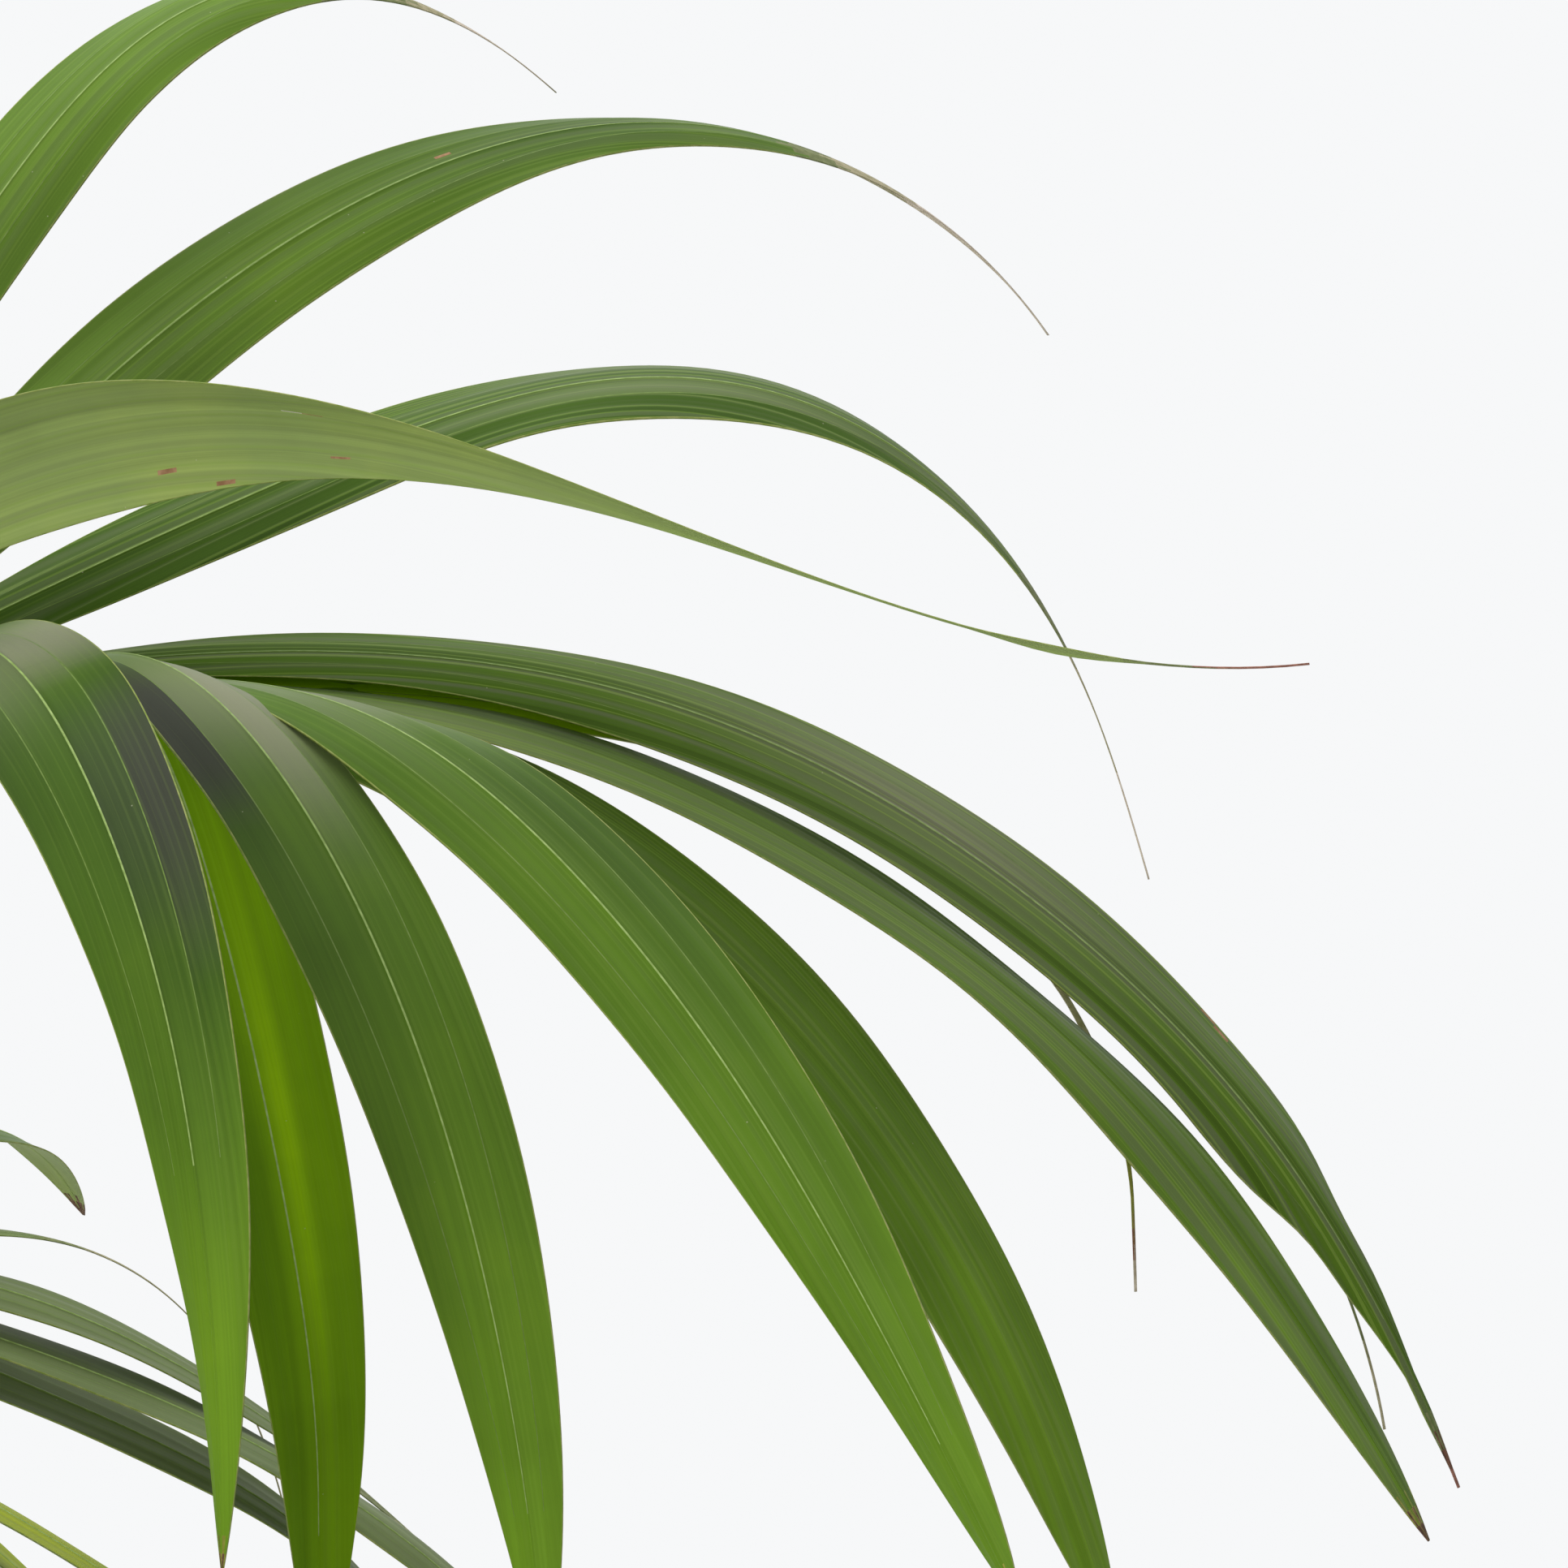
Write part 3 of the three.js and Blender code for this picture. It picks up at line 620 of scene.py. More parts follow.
class Sheet:
    """A leaflet's grid closed to a thin sheet, with corners as (across, along, layer). Its faces
    are sorted, because solidify gives them in another order each time."""

    def __init__(self, half_columns, rows):
        columns = half_columns + [-column for column in reversed(half_columns[:-1])]
        bm = bmesh.new()
        bmesh.ops.create_grid(bm, x_segments=len(columns) - 1, y_segments=rows, size=1)
        for corner in bm.verts:
            column = round((corner.co.x + 1) / 2 * (len(columns) - 1))
            corner.co = Vector((columns[column], (corner.co.y + 1) / 2, 0))
        bmesh.ops.solidify(bm, geom=bm.faces[:], thickness=1.0)
        bmesh.ops.recalc_face_normals(bm, faces=bm.faces)
        layers = [corner.co.z for corner in bm.verts]
        low, high = min(layers), max(layers)
        self.corners = np.array([(v.co.x, v.co.y, (v.co.z - low) / (high - low)) for v in bm.verts])
        rings = [[vert.index for vert in face.verts] for face in bm.faces]
        firsts = [ring.index(min(ring)) for ring in rings]
        self.faces = np.array(sorted(ring[k:] + ring[:k] for ring, k in zip(rings, firsts)))
        self.rows = rows
        self.middles = self.corners[self.faces].mean(axis=1)
        bm.free()

    def half_widths(self, leaf, look):
        """The half width at each corner, with the narrow twists and flat ribbons of a dry end."""
        along = self.corners[:, 1]
        thread = THREAD_HALF * look["thread"] * (1 - THREAD_FINER * along)
        half = np.maximum(leaf.half_width(along), thread)
        for place, long, gain, least in look["waists"]:
            near = np.exp(-((along - place) / long) ** 2)
            half = np.maximum(half * (1 + gain * near), least * near)
        return half

    def laid(self, leaf, root, look):
        """The corners, laid along a leaflet's line with four facets, pleats, midrib and waves."""
        places = leaf.line(root, self.rows)
        stances = [leaf.rolled(step / self.rows) for step in range(self.rows + 1)]
        sides = np.array([side for side, _ in stances])
        ups = np.array([face for _, face in stances])
        across, along, layer = self.corners.T
        step = np.rint(along * self.rows).astype(int)
        half = self.half_widths(leaf, look)
        size = np.abs(across)
        full = np.clip(half / (leaf.width * 0.5), 0, 1)
        ease = np.clip(along / PLEATS_FULL, 0, 1)
        chance, ridge, (count, depth) = look["chance"], look["ridge"], look["pleats"]
        left_outer, left_inner, right_inner, right_outer = look["fold"]
        inner = np.where(across > 0, left_inner, right_inner) * np.minimum(size, VEIN_AT)
        outer = np.where(across > 0, left_outer, right_outer) * np.maximum(size - VEIN_AT, 0)
        lift = -half * (1 + np.exp(-(along / ROOT_FOLD) ** 2)) * (inner + outer)
        swing = 0.6 + 0.4 * np.sin(math.tau * (along * 1.3 + chance * 5) + across)
        lift += depth * full * ease * swing * np.cos(math.tau * count * size + 3 * chance)
        groove = np.exp(-((size - GROOVE_AT) / GROOVE_SPREAD) ** 2)
        lift += ridge * full * MIDRIB_HIGH * np.exp(-(across / MIDRIB_SPREAD) ** 2)
        lift -= ridge * full * MIDRIB_HIGH * GROOVE_SHARE * groove
        slow = math.tau * (along * (1.2 + chance) + chance * 3) + across * 1.4
        quick = math.tau * (along * 4.1 + chance * 7) + 2 * across
        lift += LONG_WAVE * full * np.sin(slow)
        lift += EDGE_WAVE * full * size ** 2 * np.sin(quick)
        lift += (layer - 1) * LEAF_THICK * (0.6 + 0.4 * full)
        return places[step] + sides[step] * (across * half)[:, None] + ups[step] * lift[:, None]


# The stripe grey is painted sheen; the bright vein colour is the veins' own.
SHEEN_STRIPE_GREY, VEIN_BRIGHT = (0.135, 0.160, 0.085), (0.24, 0.36, 0.06)
# The dark colour here is painted shade on facets turned from the light; the pale grey is a waxy
# coat and painted sheen where blades turn towards the bright surround.
PAINTED_SHADE, BLOOM_AND_SHEEN = (0.040, 0.046, 0.030), (0.235, 0.245, 0.155)
GREEN_DEEP, GREEN_FRESH = (0.042, 0.090, 0.008), (0.148, 0.285, 0.014)
# The glow colours paint light shining through a backlit blade.
GLOW_DEEP, GLOW_BRIGHT = (0.085, 0.185, 0.004), (0.280, 0.500, 0.001)
PAINTED_SHADE_STEPS, GREEN_STEPS, BLOOM_AND_SHEEN_STEPS, GLOW_STEPS = 3, 11, 4, 4
FRESHER, DUST, DUST_SHARE, DUST_CELLS = (1.35, 1.25, 1.0), (0.45, 0.45, 0.30), 0.5, 210.0


def ramp(step):
    """The blade's colours: painted shade below zero, then deep green to fresh green."""
    if step < 0:
        return [mix(deep, painted_shade, -step / PAINTED_SHADE_STEPS) for deep, painted_shade in zip(GREEN_DEEP, PAINTED_SHADE)]
    return [mix(deep, fresh, step / GREEN_STEPS) for deep, fresh in zip(GREEN_DEEP, GREEN_FRESH)]


def scaled(tree, colour, factor):
    return add(tree, "VectorMath", {0: colour, "Scale": factor}, operation="SCALE").outputs[0]


def leaf_skin(name, first, second, bloom_and_sheen, roughness=0.42, relief=0.00012, lines=0.10, gloss=0.20):
    """Living blade: faint parallel veins, grey stripes of painted sheen with painted shade in the
    bands beside them, soft clouding and a little dust on a satin face. Its colour runs from the
    first to the second, and then towards the pale grey of a waxy coat and painted sheen, as the
    corners tell."""
    skin, tree, shader = material(name, first, roughness)
    shader.inputs["Specular IOR Level"].default_value = gloss
    blade = add(tree, "UVMap", uv_map="blade").outputs["UV"]
    fine = noise_at(tree, blade, 1.0, 2.0, (5.0, 34.0, 1.0))
    broad = noise_at(tree, blade, 1.0, 2.0, (3.0, 5.0, 1.0))
    vein = noise_at(tree, blade, 1.0, 1.0, (0.7, 17.0, 1.0))
    cloud = noise_at(tree, object_place(tree), 22.0, 3.0)
    streak = maths(tree, "ADD", maths(tree, "MULTIPLY", fine, 0.4),
                   maths(tree, "MULTIPLY", broad, 0.6))
    rest, veil, vein_and_sheen_stripes = [add(tree, "Attribute", attribute_name=each).outputs["Fac"]
                          for each in ("rest", "veil_rest", "vein_and_sheen_stripes")]
    green = blended(tree, ranged(tree, rest, 0, 1), first, second)
    green = scaled(tree, green, ranged(tree, streak, 0.38, 0.62, 0.91, 1.09))
    green = scaled(tree, green, ranged(tree, cloud, 0.30, 0.46, 0.90, 1.0))
    fresher = add(tree, "VectorMath", {0: green, 1: FRESHER}, operation="MULTIPLY")
    green = blended(tree, ranged(tree, cloud, 0.52, 0.78, 0.0, 0.55), green, fresher.outputs[0])
    # The veil lays the pale grey of a waxy coat and painted sheen over the green.
    green = blended(tree, ranged(tree, veil, 0, 1, *bloom_and_sheen), green, BLOOM_AND_SHEEN)
    # Grey stripes along the blade paint streaks of sheen, and the bands beside them are darkened as
    # painted shade.
    stripe = noise_at(tree, blade, 1.0, 1.0, (0.4, 5.5, 1.0))
    sheen_streaks = ranged(tree, stripe, 0.49, 0.57, 0.0, maths(tree, "MULTIPLY", vein_and_sheen_stripes, 0.64))
    green = blended(tree, sheen_streaks, green, SHEEN_STRIPE_GREY)
    sunk = ranged(tree, stripe, 0.46, 0.40, 1.0, ranged(tree, vein_and_sheen_stripes, 0, 1, 1.0, 0.73))
    green = scaled(tree, green, sunk)
    lined = ranged(tree, vein_and_sheen_stripes, 0, 1, lines * 0.6, (lines + 0.60) * 0.6)
    green = blended(tree, ranged(tree, vein, 0.56, 0.62, 0.0, lined), green, VEIN_BRIGHT)
    cells = add(tree, "TexVoronoi", {"Vector": object_place(tree), "Scale": DUST_CELLS})
    dot = ranged(tree, cells.outputs["Distance"], 0.03, 0.055, 1.0, 0.0)
    drawn = add(tree, "SeparateXYZ", {"Vector": cells.outputs["Color"]}).outputs["X"]
    dust = maths(tree, "MULTIPLY", dot, ranged(tree, drawn, 0.88, 0.89, 0.0, DUST_SHARE))
    painted(tree, shader, blended(tree, dust, green, DUST))
    tree.links.new(ranged(tree, streak, 0.3, 0.7, roughness - 0.03, roughness + 0.05),
                   shader.inputs["Roughness"])
    raised(tree, shader, broad, 1.0, relief)
    return skin


def dry_skin(name, dark, light, roughness):
    """Withered or woody tissue: uneven, dull and fibrous."""
    skin, tree, shader = material(name, light, roughness)
    fibre = noise_at(tree, object_place(tree), 420.0, 3.0)
    painted(tree, shader, blended(tree, ranged(tree, fibre, 0.35, 0.65), dark, light))
    raised(tree, shader, fibre, 0.3, 0.0001)
    return skin


EVEN_SKINS = [("lime", (0.300, 0.370, 0.015), 0.5, 0.00012, 0.10, 0.1),
              # The underside's pale green is its own paler colour and partly painted light shining
              # through the blade.
              ("under", (0.270, 0.360, 0.105), 0.55, 0.00015, 0.35, 0.35)]
DRY_SKINS = [
    ("midrib", (0.20, 0.30, 0.07), (0.30, 0.42, 0.13), 0.45),
    ("vein", (0.10, 0.17, 0.025), (0.15, 0.23, 0.045), 0.42),
    ("edge", (0.19, 0.26, 0.04), (0.30, 0.34, 0.10), 0.5),
    ("fading", (0.13, 0.16, 0.05), (0.20, 0.23, 0.09), 0.55),
    ("yellowing", (0.21, 0.23, 0.025), (0.30, 0.29, 0.05), 0.55),
    ("withered", (0.085, 0.040, 0.022), (0.20, 0.105, 0.058), 0.75),
    ("straw", (0.30, 0.28, 0.15), (0.42, 0.38, 0.24), 0.65),
    ("thread", (0.50, 0.42, 0.32), (0.68, 0.60, 0.50), 0.7),
    ("rust", (0.20, 0.07, 0.045), (0.38, 0.17, 0.12), 0.65),
    ("scar", (0.26, 0.13, 0.06), (0.42, 0.24, 0.13), 0.7),
    ("pale_scar", (0.55, 0.50, 0.44), (0.80, 0.77, 0.72), 0.7),
]
LEAF_SKINS = {}
for step in range(-PAINTED_SHADE_STEPS, GREEN_STEPS):
    LEAF_SKINS[f"ramp_{step}"] = leaf_skin(
        f"leaf_ramp_{step + PAINTED_SHADE_STEPS}", ramp(step), ramp(step + 1), (0, 1 / BLOOM_AND_SHEEN_STEPS))
# These skins carry the pale grey of a waxy coat and painted sheen, in steps.
for step in range(1, BLOOM_AND_SHEEN_STEPS):
    LEAF_SKINS[f"bloom_{step}"] = leaf_skin(
        f"leaf_bloom_{step}", ramp(0), ramp(GREEN_STEPS),
        (step / BLOOM_AND_SHEEN_STEPS, (step + 1) / BLOOM_AND_SHEEN_STEPS))
# Glow skins: painted light shining through the blade.
for step in range(GLOW_STEPS):
    ends = [[mix(deep, bright, (step + k) / GLOW_STEPS)
             for deep, bright in zip(GLOW_DEEP, GLOW_BRIGHT)] for k in (0, 1)]
    LEAF_SKINS[f"glow_{step}"] = leaf_skin(f"leaf_glow_{step}", *ends, (0, 0), 0.6, gloss=0.05)
for name, colour, *finish in EVEN_SKINS:
    LEAF_SKINS[name] = leaf_skin(f"leaf_{name}", colour, colour, (0, 0), *finish)
for name, dark, light, roughness in DRY_SKINS:
    LEAF_SKINS[name] = dry_skin(f"leaf_{name}", dark, light, roughness)
SKIN_ORDER = list(LEAF_SKINS)

NEAR_SHEET = Sheet([-1, -0.984, -0.94, -0.87, -0.79, -0.71, -0.63, -0.56, -0.51, -0.491, -0.474,
                    -0.45, -0.40, -0.33, -0.26, -0.19, -0.13, -0.09, -0.055, -0.028, -0.014, 0], 90)
FAR_SHEET = Sheet([-1, -0.975, -0.7, -VEIN_AT, -0.035, 0], 24)
# what a leaflet's look has unless it says otherwise
PLAIN_LOOK = dict(kind="green", vein_and_sheen_stripes=0.25, freshens=0.25, rib=0.03, rib_end=0.9,
                  side_veins=True, fold=(0.30, 0.10, 0.10, 0.30), thread=1, waists=[],
                  veils=[], patches=[], marks=[])


def tinted(look, across, along, facet):
    """The place on the ramp of greens, with painted shade below zero, and the steps of the pale
    grey of a waxy coat and painted sheen, at places on the blade.
    """
    tone = look["tone"]
    patch = np.sin(along * 17 + tone * 40) * np.sin(across * 2.3 + along * 5 + tone * 9)
    share = tone + look["freshens"] * along ** 2 + 0.04 * patch
    for place, side, long, wide, gain in look["patches"]:
        away = -((along - place) / long) ** 2 - ((across - side) / wide) ** 2
        share = share + gain * np.exp(away)
    # Veils below zero paint shade by taking the green down the ramp; above zero they paint sheen on
    # a waxy coat.
    veil = np.zeros_like(along)
    for place, long, amounts in look["veils"]:
        veil += np.broadcast_to(amounts, 4)[facet] * np.exp(-((along - place) / long) ** 2)
    green = (GLOW_STEPS if look["kind"] == "glow" else GREEN_STEPS) * share.clip(0, 1)
    return mix(green, -PAINTED_SHADE_STEPS, (-veil).clip(0, 1)), BLOOM_AND_SHEEN_STEPS * veil.clip(0, 1)


def leaf_parts(sheet, look):
    """Which skin each face of a leaflet takes by its place on the blade, and what is left over
    at its corners of the two tints."""
    across, along, layer = sheet.middles.T
    tone, kind = look["tone"], look["kind"]
    facet = np.select([across > VEIN_AT, across > 0, across > -VEIN_AT], [0, 1, 2], 3)
    green, bloom_and_sheen = [np.floor(tint).astype(int) for tint in tinted(look, across, along, facet)]
    green, bloom_and_sheen = green.clip(-PAINTED_SHADE_STEPS, GREEN_STEPS - 1), bloom_and_sheen.clip(0, BLOOM_AND_SHEEN_STEPS - 1)
    corners = sheet.corners[sheet.faces]
    corner_green, corner_bloom_and_sheen = tinted(look, corners[:, :, 0], corners[:, :, 1], facet[:, None])
    veiled = (bloom_and_sheen > 0)[:, None]
    rest = np.where(veiled, corner_green / GREEN_STEPS, corner_green - green[:, None])
    veil_rest = corner_bloom_and_sheen - bloom_and_sheen[:, None]
    skins = green + SKIN_ORDER.index("ramp_0")
    # Faces under a veil take the pale skins of waxy coat and painted sheen.
    skins[bloom_and_sheen > 0] = bloom_and_sheen[bloom_and_sheen > 0] + SKIN_ORDER.index("bloom_1") - 1
    skins[layer < UPPER_FROM] = SKIN_ORDER.index("under")
    if kind == "glow":
        skins = green.clip(0, GLOW_STEPS - 1) + SKIN_ORDER.index("glow_0")
    elif kind == "lime":
        skins[:] = SKIN_ORDER.index("lime")
    upper = ((layer > UPPER_FROM) | (kind == "glow")) & (along < look["rib_end"])
    if look["side_veins"]:
        skins[(np.abs(np.abs(across) - VEIN_AT) < VEIN_HALF) & upper] = SKIN_ORDER.index("vein")
    skins[(np.abs(across) < look["rib"]) & upper] = SKIN_ORDER.index("midrib")
    skins[np.abs(across) > EDGE_FROM] = SKIN_ORDER.index("edge")
    for name, place, side in look["marks"]:
        near = np.argmin(((along - place) * 8) ** 2 + (across - side) ** 2 + (1 - layer) * 0.001)
        twin = np.hypot(along - along[near], across - across[near]) < TWIN_NEAR
        skins[twin] = SKIN_ORDER.index(name)
    ragged = 0.007 * np.sin(across * 7 + tone * 30) + 0.004 * np.sin(across * 19 + tone * 70)
    for name, start in look["drying"]:
        skins[along > start + ragged] = SKIN_ORDER.index(name)
    return skins, rest, veil_rest


def leaf_piece(name, node, leaves, sheet):
    """Joins the blades of one frond. Each comes as its root, its leaflet and its look."""
    corners, faces, parts, uvs, veins = [], [], [], [], []
    for index, (root, leaf, look) in enumerate(leaves):
        corners.append(sheet.laid(leaf, root, look))
        faces.append(sheet.faces + index * len(sheet.corners))
        parts.append(leaf_parts(sheet, look))
        spread = sheet.corners[:, 0] * sheet.half_widths(leaf, look) / (LEAF_WIDTH / 2)
        start = index * 1.7 + 40 * look["chance"]
        uv = np.stack([sheet.corners[:, 1] * leaf.length + start, spread], axis=1)
        uvs.append(uv[sheet.faces.ravel()])
        veins.append(np.full(len(sheet.corners), look["vein_and_sheen_stripes"]))
    mesh = bpy.data.meshes.new(name)
    mesh.from_pydata(np.concatenate(corners).tolist(), [], np.concatenate(faces).tolist())
    skins, rest, veil_rest = [np.concatenate(each) for each in zip(*parts)]
    mesh.polygons.foreach_set("material_index", skins)
    mesh.polygons.foreach_set("use_smooth", [True] * len(mesh.polygons))
    uv = np.concatenate(uvs).ravel().astype(np.float32)
    mesh.uv_layers.new(name="blade").data.foreach_set("uv", uv)
    for kind, domain, values in (("vein_and_sheen_stripes", "POINT", np.concatenate(veins)),
                                 ("rest", "CORNER", rest), ("veil_rest", "CORNER", veil_rest)):
        made = mesh.attributes.new(kind, "FLOAT", domain)
        made.data.foreach_set("value", values.ravel())
    piece(name, mesh, list(LEAF_SKINS.values()), "frond", node)


for number, row in enumerate(FRONDS):
    course, bare = courses[row[0]], row[8]
    leaves = []
    for index, (t, leaf) in enumerate(grown_leaflets(row, number)):
        withered = 1 - 0.015 - 0.05 * wobble(number + 5, index + 1, 2.5) ** 2
        of_frond, of_leaf = [wobble(number + 3, k, 0.7) for k in (2, index + 2)]
        look = dict(PLAIN_LOOK, tone=0.15 + 0.3 * of_frond + 0.15 * of_leaf, ridge=1.0, rib=0.04,
                    chance=wobble(number + 1, index + 1, 5.5), pleats=(2.2, 0.00012),
                    drying=[("yellowing", withered - 0.03), ("withered", withered)])
        leaves.append((course.place(mix(bare, 1, t)), leaf, look))
    leaf_piece(f"leaflets_{row[0]}", f"frond_{row[0]}", leaves, FAR_SHEET)

# The placed leaflets stand as their solids do. Each has its own tone from deep to fresh, facets,
# midrib, grey stripes of painted sheen, veils of painted sheen on a waxy coat and veils of painted
# shade, and its dry end, twists and marks. They are sheets of the same kind with a finer grid.

# place and spread are shares of the length, side and wide of the half width, four amounts go
# from the left facet to the right one
# patches: place, side, spread, wide, gain. veils: place, spread, amount or four amounts; a veil
# above zero paints sheen on a waxy coat, one below zero paints shade
# waists: place, spread, gain, least. marks: skin, place, side. drying: skin, place
RIGHT_LOOKS = [
    dict(tone=0.41, ridge=0.4, rib=0.02, pleats=(1.2, 0.00008), veils=[(0.3, 0.4, 0.06)],
         drying=[("fading", 0.78), ("straw", 0.86), ("thread", 0.90)]),
    dict(tone=0.50, ridge=0.4, rib=0.02, pleats=(1.6, 0.00010), vein_and_sheen_stripes=0.3,
         # The patch darkens the crest: painted shade.
         patches=[(0.64, 0.0, 0.17, 1.5, -0.5)], marks=[("scar", 0.53, -0.2)],
         veils=[(0.1, 0.3, 0.12)],
         drying=[("fading", 0.765), ("straw", 0.80), ("thread", 0.86)]),
    dict(tone=0.07, ridge=0.5, rib=0.02, pleats=(1.8, 0.00016), vein_and_sheen_stripes=0.5,
         veils=[(0.58, 0.16, (-0.3, 0.25, -0.25, 0.2)), (0.76, 0.05, 0.3)],
         drying=[("fading", 0.80), ("straw", 0.86), ("thread", 0.93)]),
    # Glow paints light shining through this blade, bright enough to stand against the shade of the
    # leaflets above.
    dict(tone=0.9, ridge=0.6, pleats=(3.0, 0.00010), vein_and_sheen_stripes=0.0, kind="glow",
         waists=[(0.82, 0.12, 0, 0.0011)],
         drying=[("straw", 0.70), ("yellowing", 0.84), ("rust", 0.955), ("thread", 0.975)]),
    dict(tone=0.7, ridge=0.6, pleats=(3.0, 0.00010), vein_and_sheen_stripes=0.0, veils=[(0.75, 0.2, 0.5)],
         drying=[("fading", 0.85), ("straw", 0.95)]),
    dict(tone=0.27, ridge=0.5, rib=0.012, pleats=(2.6, 0.00010), vein_and_sheen_stripes=1.0,
         veils=[(0.08, 0.2, (0.0, 0.0, 0.05, 0.15)), (0.53, 0.13, (0.1, 0.4, 0.8, 0.5))],
         waists=[(0.845, 0.035, -0.25, 0), (0.95, 0.035, 0, 0.0018)],
         marks=[("scar", 0.72, -0.95), ("scar", 0.725, -0.9)],
         drying=[("fading", 0.96), ("withered", 0.972), ("rust", 0.988)]),
    # Glow paints the light shining through this backlit blade.
    dict(tone=0.26, ridge=0.3, rib=0.018, pleats=(1.2, 0.00006), kind="glow", vein_and_sheen_stripes=0.0,
         freshens=0.0, side_veins=False,
         patches=[(0.60, 0.20, 0.17, 0.20, 0.55), (0.5, -0.6, 0.6, 0.45, -0.2),
                  (0.4, 0.5, 0.15, 0.5, 0.1)],
         drying=[("yellowing", 0.98), ("withered", 0.99)]),
    dict(tone=0.34, ridge=0.0, rib=0.0, pleats=(2.2, 0.00006), vein_and_sheen_stripes=0.3, thread=0.75,
         waists=[(0.88, 0.035, 0, 0.0018)], patches=[(0.86, 0.0, 0.05, 3.0, 0.3)],
         drying=[("fading", 0.92), ("rust", 0.955)],
         marks=[("pale_scar", 0.471, 0.5), ("scar", 0.482, 0.5), ("scar", 0.50, -0.55),
                ("scar", 0.397, -0.6), ("scar", 0.429, -0.9)]),
    dict(tone=0.05, ridge=0.9, rib=0.02, rib_end=0.75, pleats=(1.3, 0.00008), vein_and_sheen_stripes=0.0,
         freshens=0.1, fold=(0.34, 0.14, 0.20, 0.10), patches=[(0.95, 0.0, 0.22, 3.0, 0.85)],
         veils=[(0.24, 0.08, (0.2, 0.4, 0.9, 1.0)), (0.47, 0.17, (0.0, 0.0, -0.6, -1.0))],
         drying=[("yellowing", 0.985), ("withered", 0.992)]),
    dict(tone=0.14, ridge=0.6, rib=0.018, pleats=(1.6, 0.00008), vein_and_sheen_stripes=0.0,
         freshens=0.45, fold=(0.10, 0.22, 0.12, 0.32), patches=[(0.95, 0.0, 0.22, 3.0, 0.4)],
         veils=[(0.22, 0.11, (-1.0, 0.5, 0.9, 0.8)), (0.33, 0.07, (-0.5, -0.1, 0.3, 0.0))],
         drying=[("yellowing", 0.975), ("withered", 0.985)]),
    dict(tone=0.22, ridge=0.5, rib=0.018, pleats=(1.6, 0.00008), vein_and_sheen_stripes=0.1,
         freshens=0.5, fold=(0.30, 0.12, 0.10, 0.34), patches=[(0.5, -0.6, 0.25, 0.5, -0.15)],
         veils=[(0.17, 0.12, (0.0, 0.3, 0.6, 0.8)), (0.42, 0.15, (0.0, 0.0, -0.25, -0.35))],
         drying=[("yellowing", 0.990), ("withered", 0.995)]),
    dict(tone=0.18, ridge=0.3, rib=0.0, pleats=(4.5, 0.00008), vein_and_sheen_stripes=0.3, side_veins=False,
         freshens=0.8, patches=[(0.76, 0.1, 0.07, 0.3, 0.35)], marks=[("scar", 0.725, 0.94)],
         veils=[(0.15, 0.15, (0.0, 0.1, 0.3, 0.3))],
         drying=[("yellowing", 0.975), ("withered", 0.985)]),
    dict(tone=0.40, ridge=0.4, rib=0.0, pleats=(4.5, 0.00012), vein_and_sheen_stripes=0.75, side_veins=False,
         fold=(0.10, 0.08, 0.10, 0.25),
         # The first patch brightens the root: painted light in the shadow of the leaflet above.
         patches=[(0.12, 0.0, 0.14, 3.0, 0.7), (0.85, 0.5, 0.07, 0.25, 0.8),
                  (0.95, 0.6, 0.05, 0.5, 0.7)],
         veils=[(0.18, 0.12, (0.4, 0.3, 0.3, 0.2)), (0.45, 0.2, 0.12)],
         drying=[("yellowing", 0.978), ("withered", 0.987)]),
]
# A pale grey veil of waxy coat and painted sheen over most back leaflets.
HAZED = [(0.5, 2.0, 0.4)]
BACK_RIGHT_LOOKS = [
    dict(tone=tone, kind=kind, veils=veils, drying=drying, ridge=0.5, pleats=(2.0, 0.00008),
         fold=(0.1, 0.08, 0.08, 0.12))
    for tone, kind, veils, drying in [
        (0.25, "green", HAZED, [("fading", 0.44), ("straw", 0.49)]),
        (0.2, "green", HAZED, [("fading", 0.55), ("straw", 0.62)]),
        (0.2, "green", HAZED, [("withered", 0.95)]),
        (0.3, "green", HAZED, [("withered", 0.95)]),
        (0.1, "green", [], [("withered", 0.975)]),
        (0.5, "lime", [], [("withered", 0.96)]),
        (0.5, "lime", [], [("withered", 0.96)]),
    ]
]
PLACED_LOOKS = {"right": RIGHT_LOOKS, "back_right": BACK_RIGHT_LOOKS}
for row in FRONDS[:2]:
    name, bare = row[0], row[8]
    leaves = []
    for index, (given, look) in enumerate(zip(PLACED[name][1], PLACED_LOOKS[name])):
        look = dict(PLAIN_LOOK, chance=wobble(1, index + 1, 5.5), **look)
        leaves.append((courses[name].place(mix(bare, 1, given[0])), Leaflet(*given[1:]), look))
    leaf_piece(f"leaflets_{name}_outer", f"frond_{name}", leaves, NEAR_SHEET)

# The setting: a pale studio floor under the pot, a bright even surround and soft lights, and
# a camera level with the right frond.

VIEW_AT, VIEW_WIDTH, VIEW_DISTANCE = (0.68, 0.0, 1.22), 0.425, 1.70
SENSOR, NEAREST, FURTHEST = 36.0, 0.05, 60.0
FLOOR_RADIUS, FLOOR_STEPS, PAPER = 4.0, 96, (0.80, 0.80, 0.79)
BACKDROP, SURROUND, MIRRORED = (0.930, 0.938, 0.946, 1), (1.0, 0.99, 0.975, 1), (0.99, 0.98, 1.0, 1)
# name, place, aim, size, power
LAMPS = [("top", (0.0, 0.6, 4.2), (0.3, 0.0, 1.0), 2.6, 90),
         ("key", (-2.6, -2.2, 2.6), (0.4, 0.0, 1.1), 2.2, 90)]

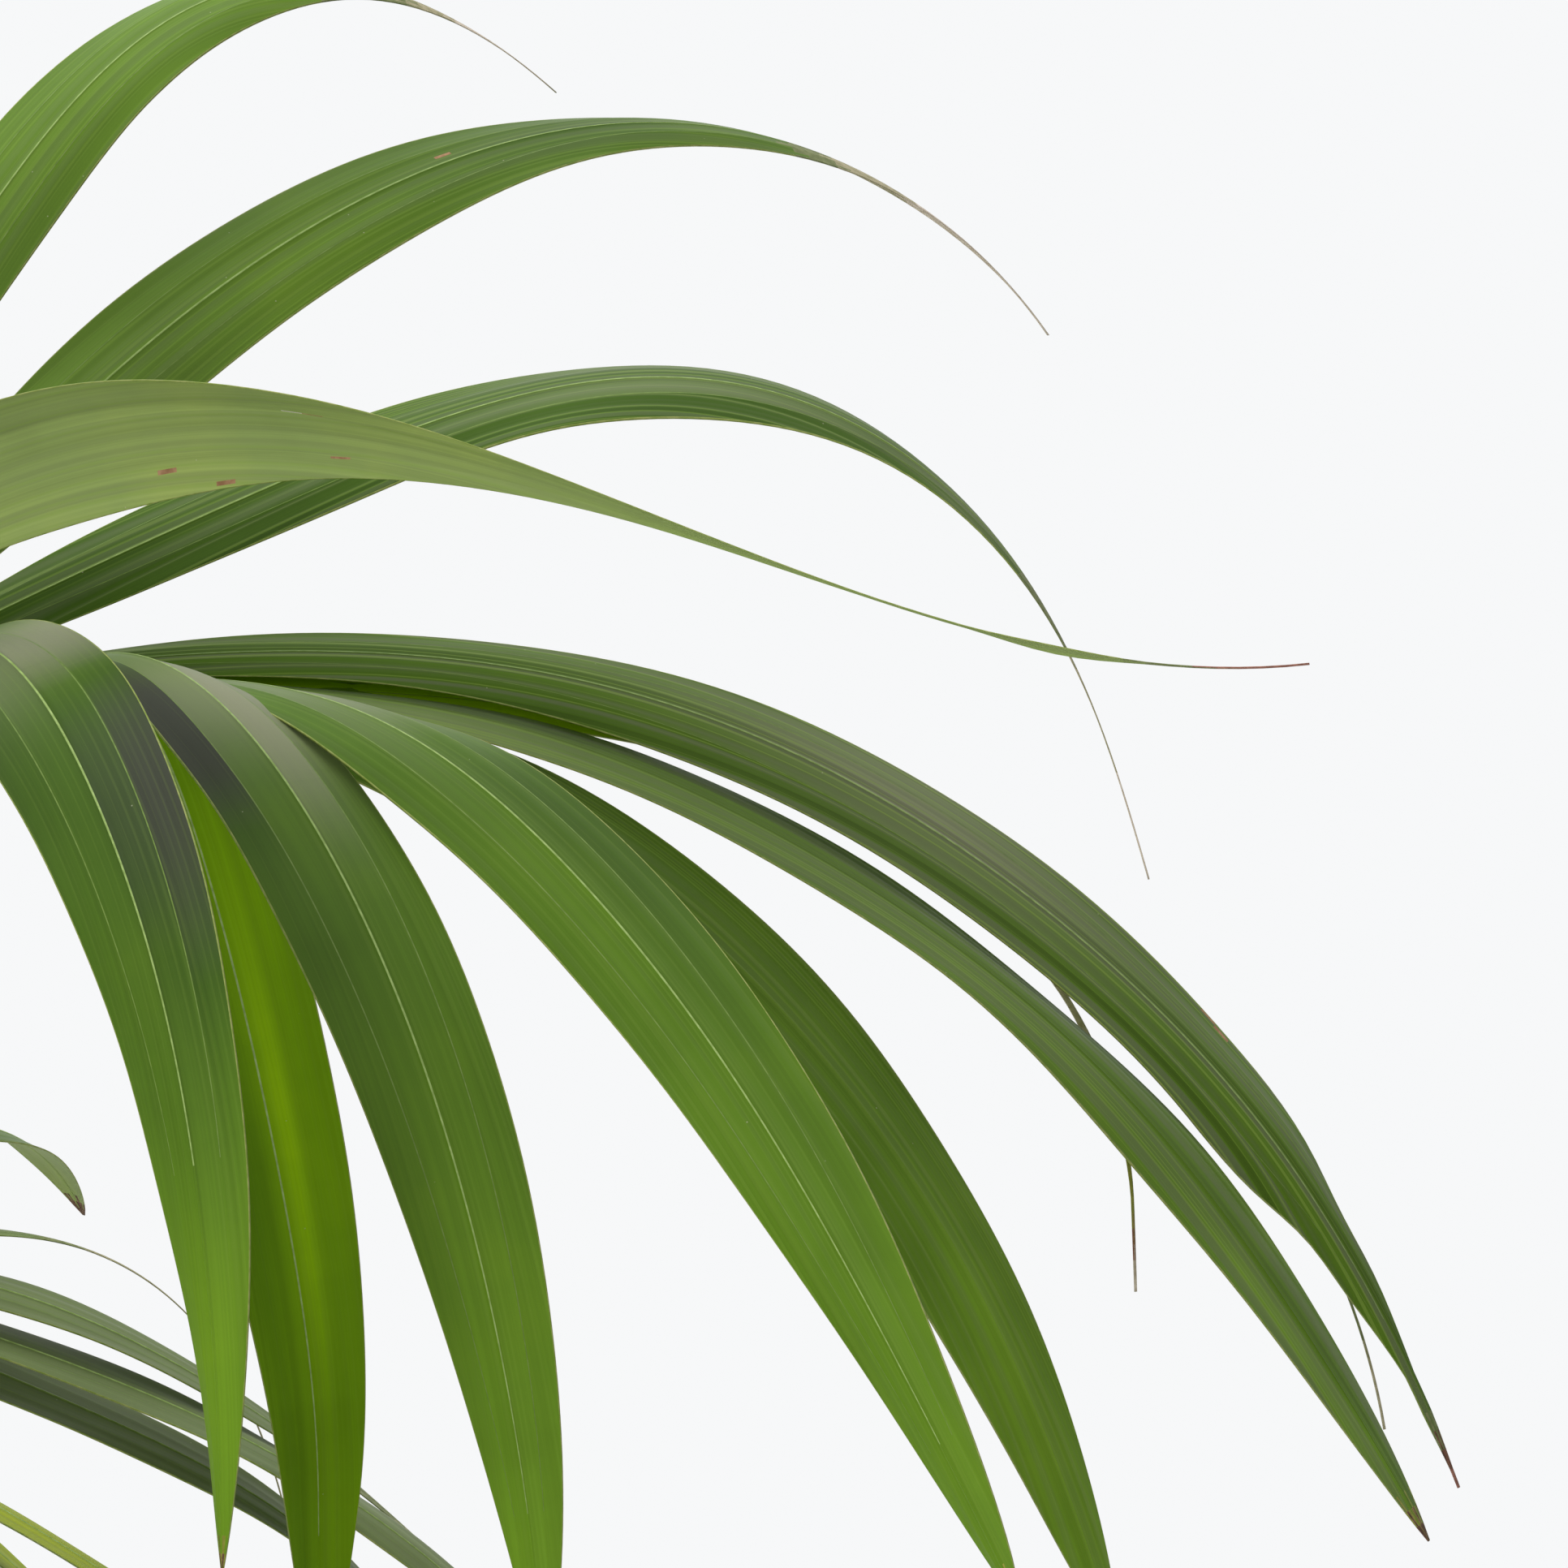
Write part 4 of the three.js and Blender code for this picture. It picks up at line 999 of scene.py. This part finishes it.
bm = bmesh.new()
bmesh.ops.create_circle(bm, cap_ends=True, radius=FLOOR_RADIUS, segments=FLOOR_STEPS)
floor = linked("floor", finished_mesh(bm, "floor"))
paper, tree, shader = material("paper", PAPER, 0.85)
raised(tree, shader, noise_at(tree, object_place(tree), 300.0), 0.05, 0.001)
floor.data.materials.append(paper)

world = bpy.data.worlds.new("studio")
world.use_nodes = True
tree = world.node_tree
backdrop = tree.nodes["Background"]
backdrop.inputs["Color"].default_value = BACKDROP
skyward = add(tree, "SeparateXYZ", {"Vector": add(tree, "TexCoord").outputs["Generated"]}).outputs
behind = ranged(tree, skyward["Y"], -0.2, 0.9)
above = ranged(tree, skyward["Z"], 0.0, 0.9)
leftward = ranged(tree, skyward["X"], 0.6, -0.6)


def surround_light(least, of_behind, of_above, of_left):
    """A strength that grows towards the back, the top and the left."""
    total = maths(tree, "ADD", maths(tree, "MULTIPLY", behind, of_behind), least)
    total = maths(tree, "ADD", maths(tree, "MULTIPLY", above, of_above), total)
    return maths(tree, "ADD", maths(tree, "MULTIPLY", leftward, of_left), total)


even = surround_light(0.30, 0.22, 0.25, 0.26)
sheen = surround_light(0.03, 0.62, 0.12, 0.15)
surround = add(tree, "Background", {"Color": SURROUND, "Strength": even}).outputs[0]
mirrored = add(tree, "Background", {"Color": MIRRORED, "Strength": sheen}).outputs[0]
rays = add(tree, "LightPath").outputs
bounced = add(tree, "MixShader", {0: rays["Is Glossy Ray"], 1: surround, 2: mirrored}).outputs[0]
shown = add(tree, "MixShader", {0: rays["Is Camera Ray"], 1: bounced, 2: backdrop.outputs[0]})
tree.links.new(shown.outputs[0], tree.nodes["World Output"].inputs["Surface"])
bpy.context.scene.world = world

for name, place, aim, size, power in LAMPS:
    light = bpy.data.lights.new(name, "AREA")
    light.size, light.energy = size, power
    lamp = linked(name, light)
    lamp.location = place
    lamp.rotation_euler = (Vector(aim) - Vector(place)).to_track_quat("-Z", "Y").to_euler()
    lamp.visible_camera = lamp.visible_glossy = False

camera = linked("camera", bpy.data.cameras.new("camera"))
camera.data.sensor_width = SENSOR
camera.data.lens = SENSOR * VIEW_DISTANCE / VIEW_WIDTH
camera.location = (VIEW_AT[0], VIEW_AT[1] - VIEW_DISTANCE, VIEW_AT[2])
camera.rotation_euler = (math.pi / 2, 0, 0)
camera.data.clip_start, camera.data.clip_end = NEAREST, FURTHEST
bpy.context.scene.camera = camera
bpy.context.scene.view_settings.view_transform = "Standard"
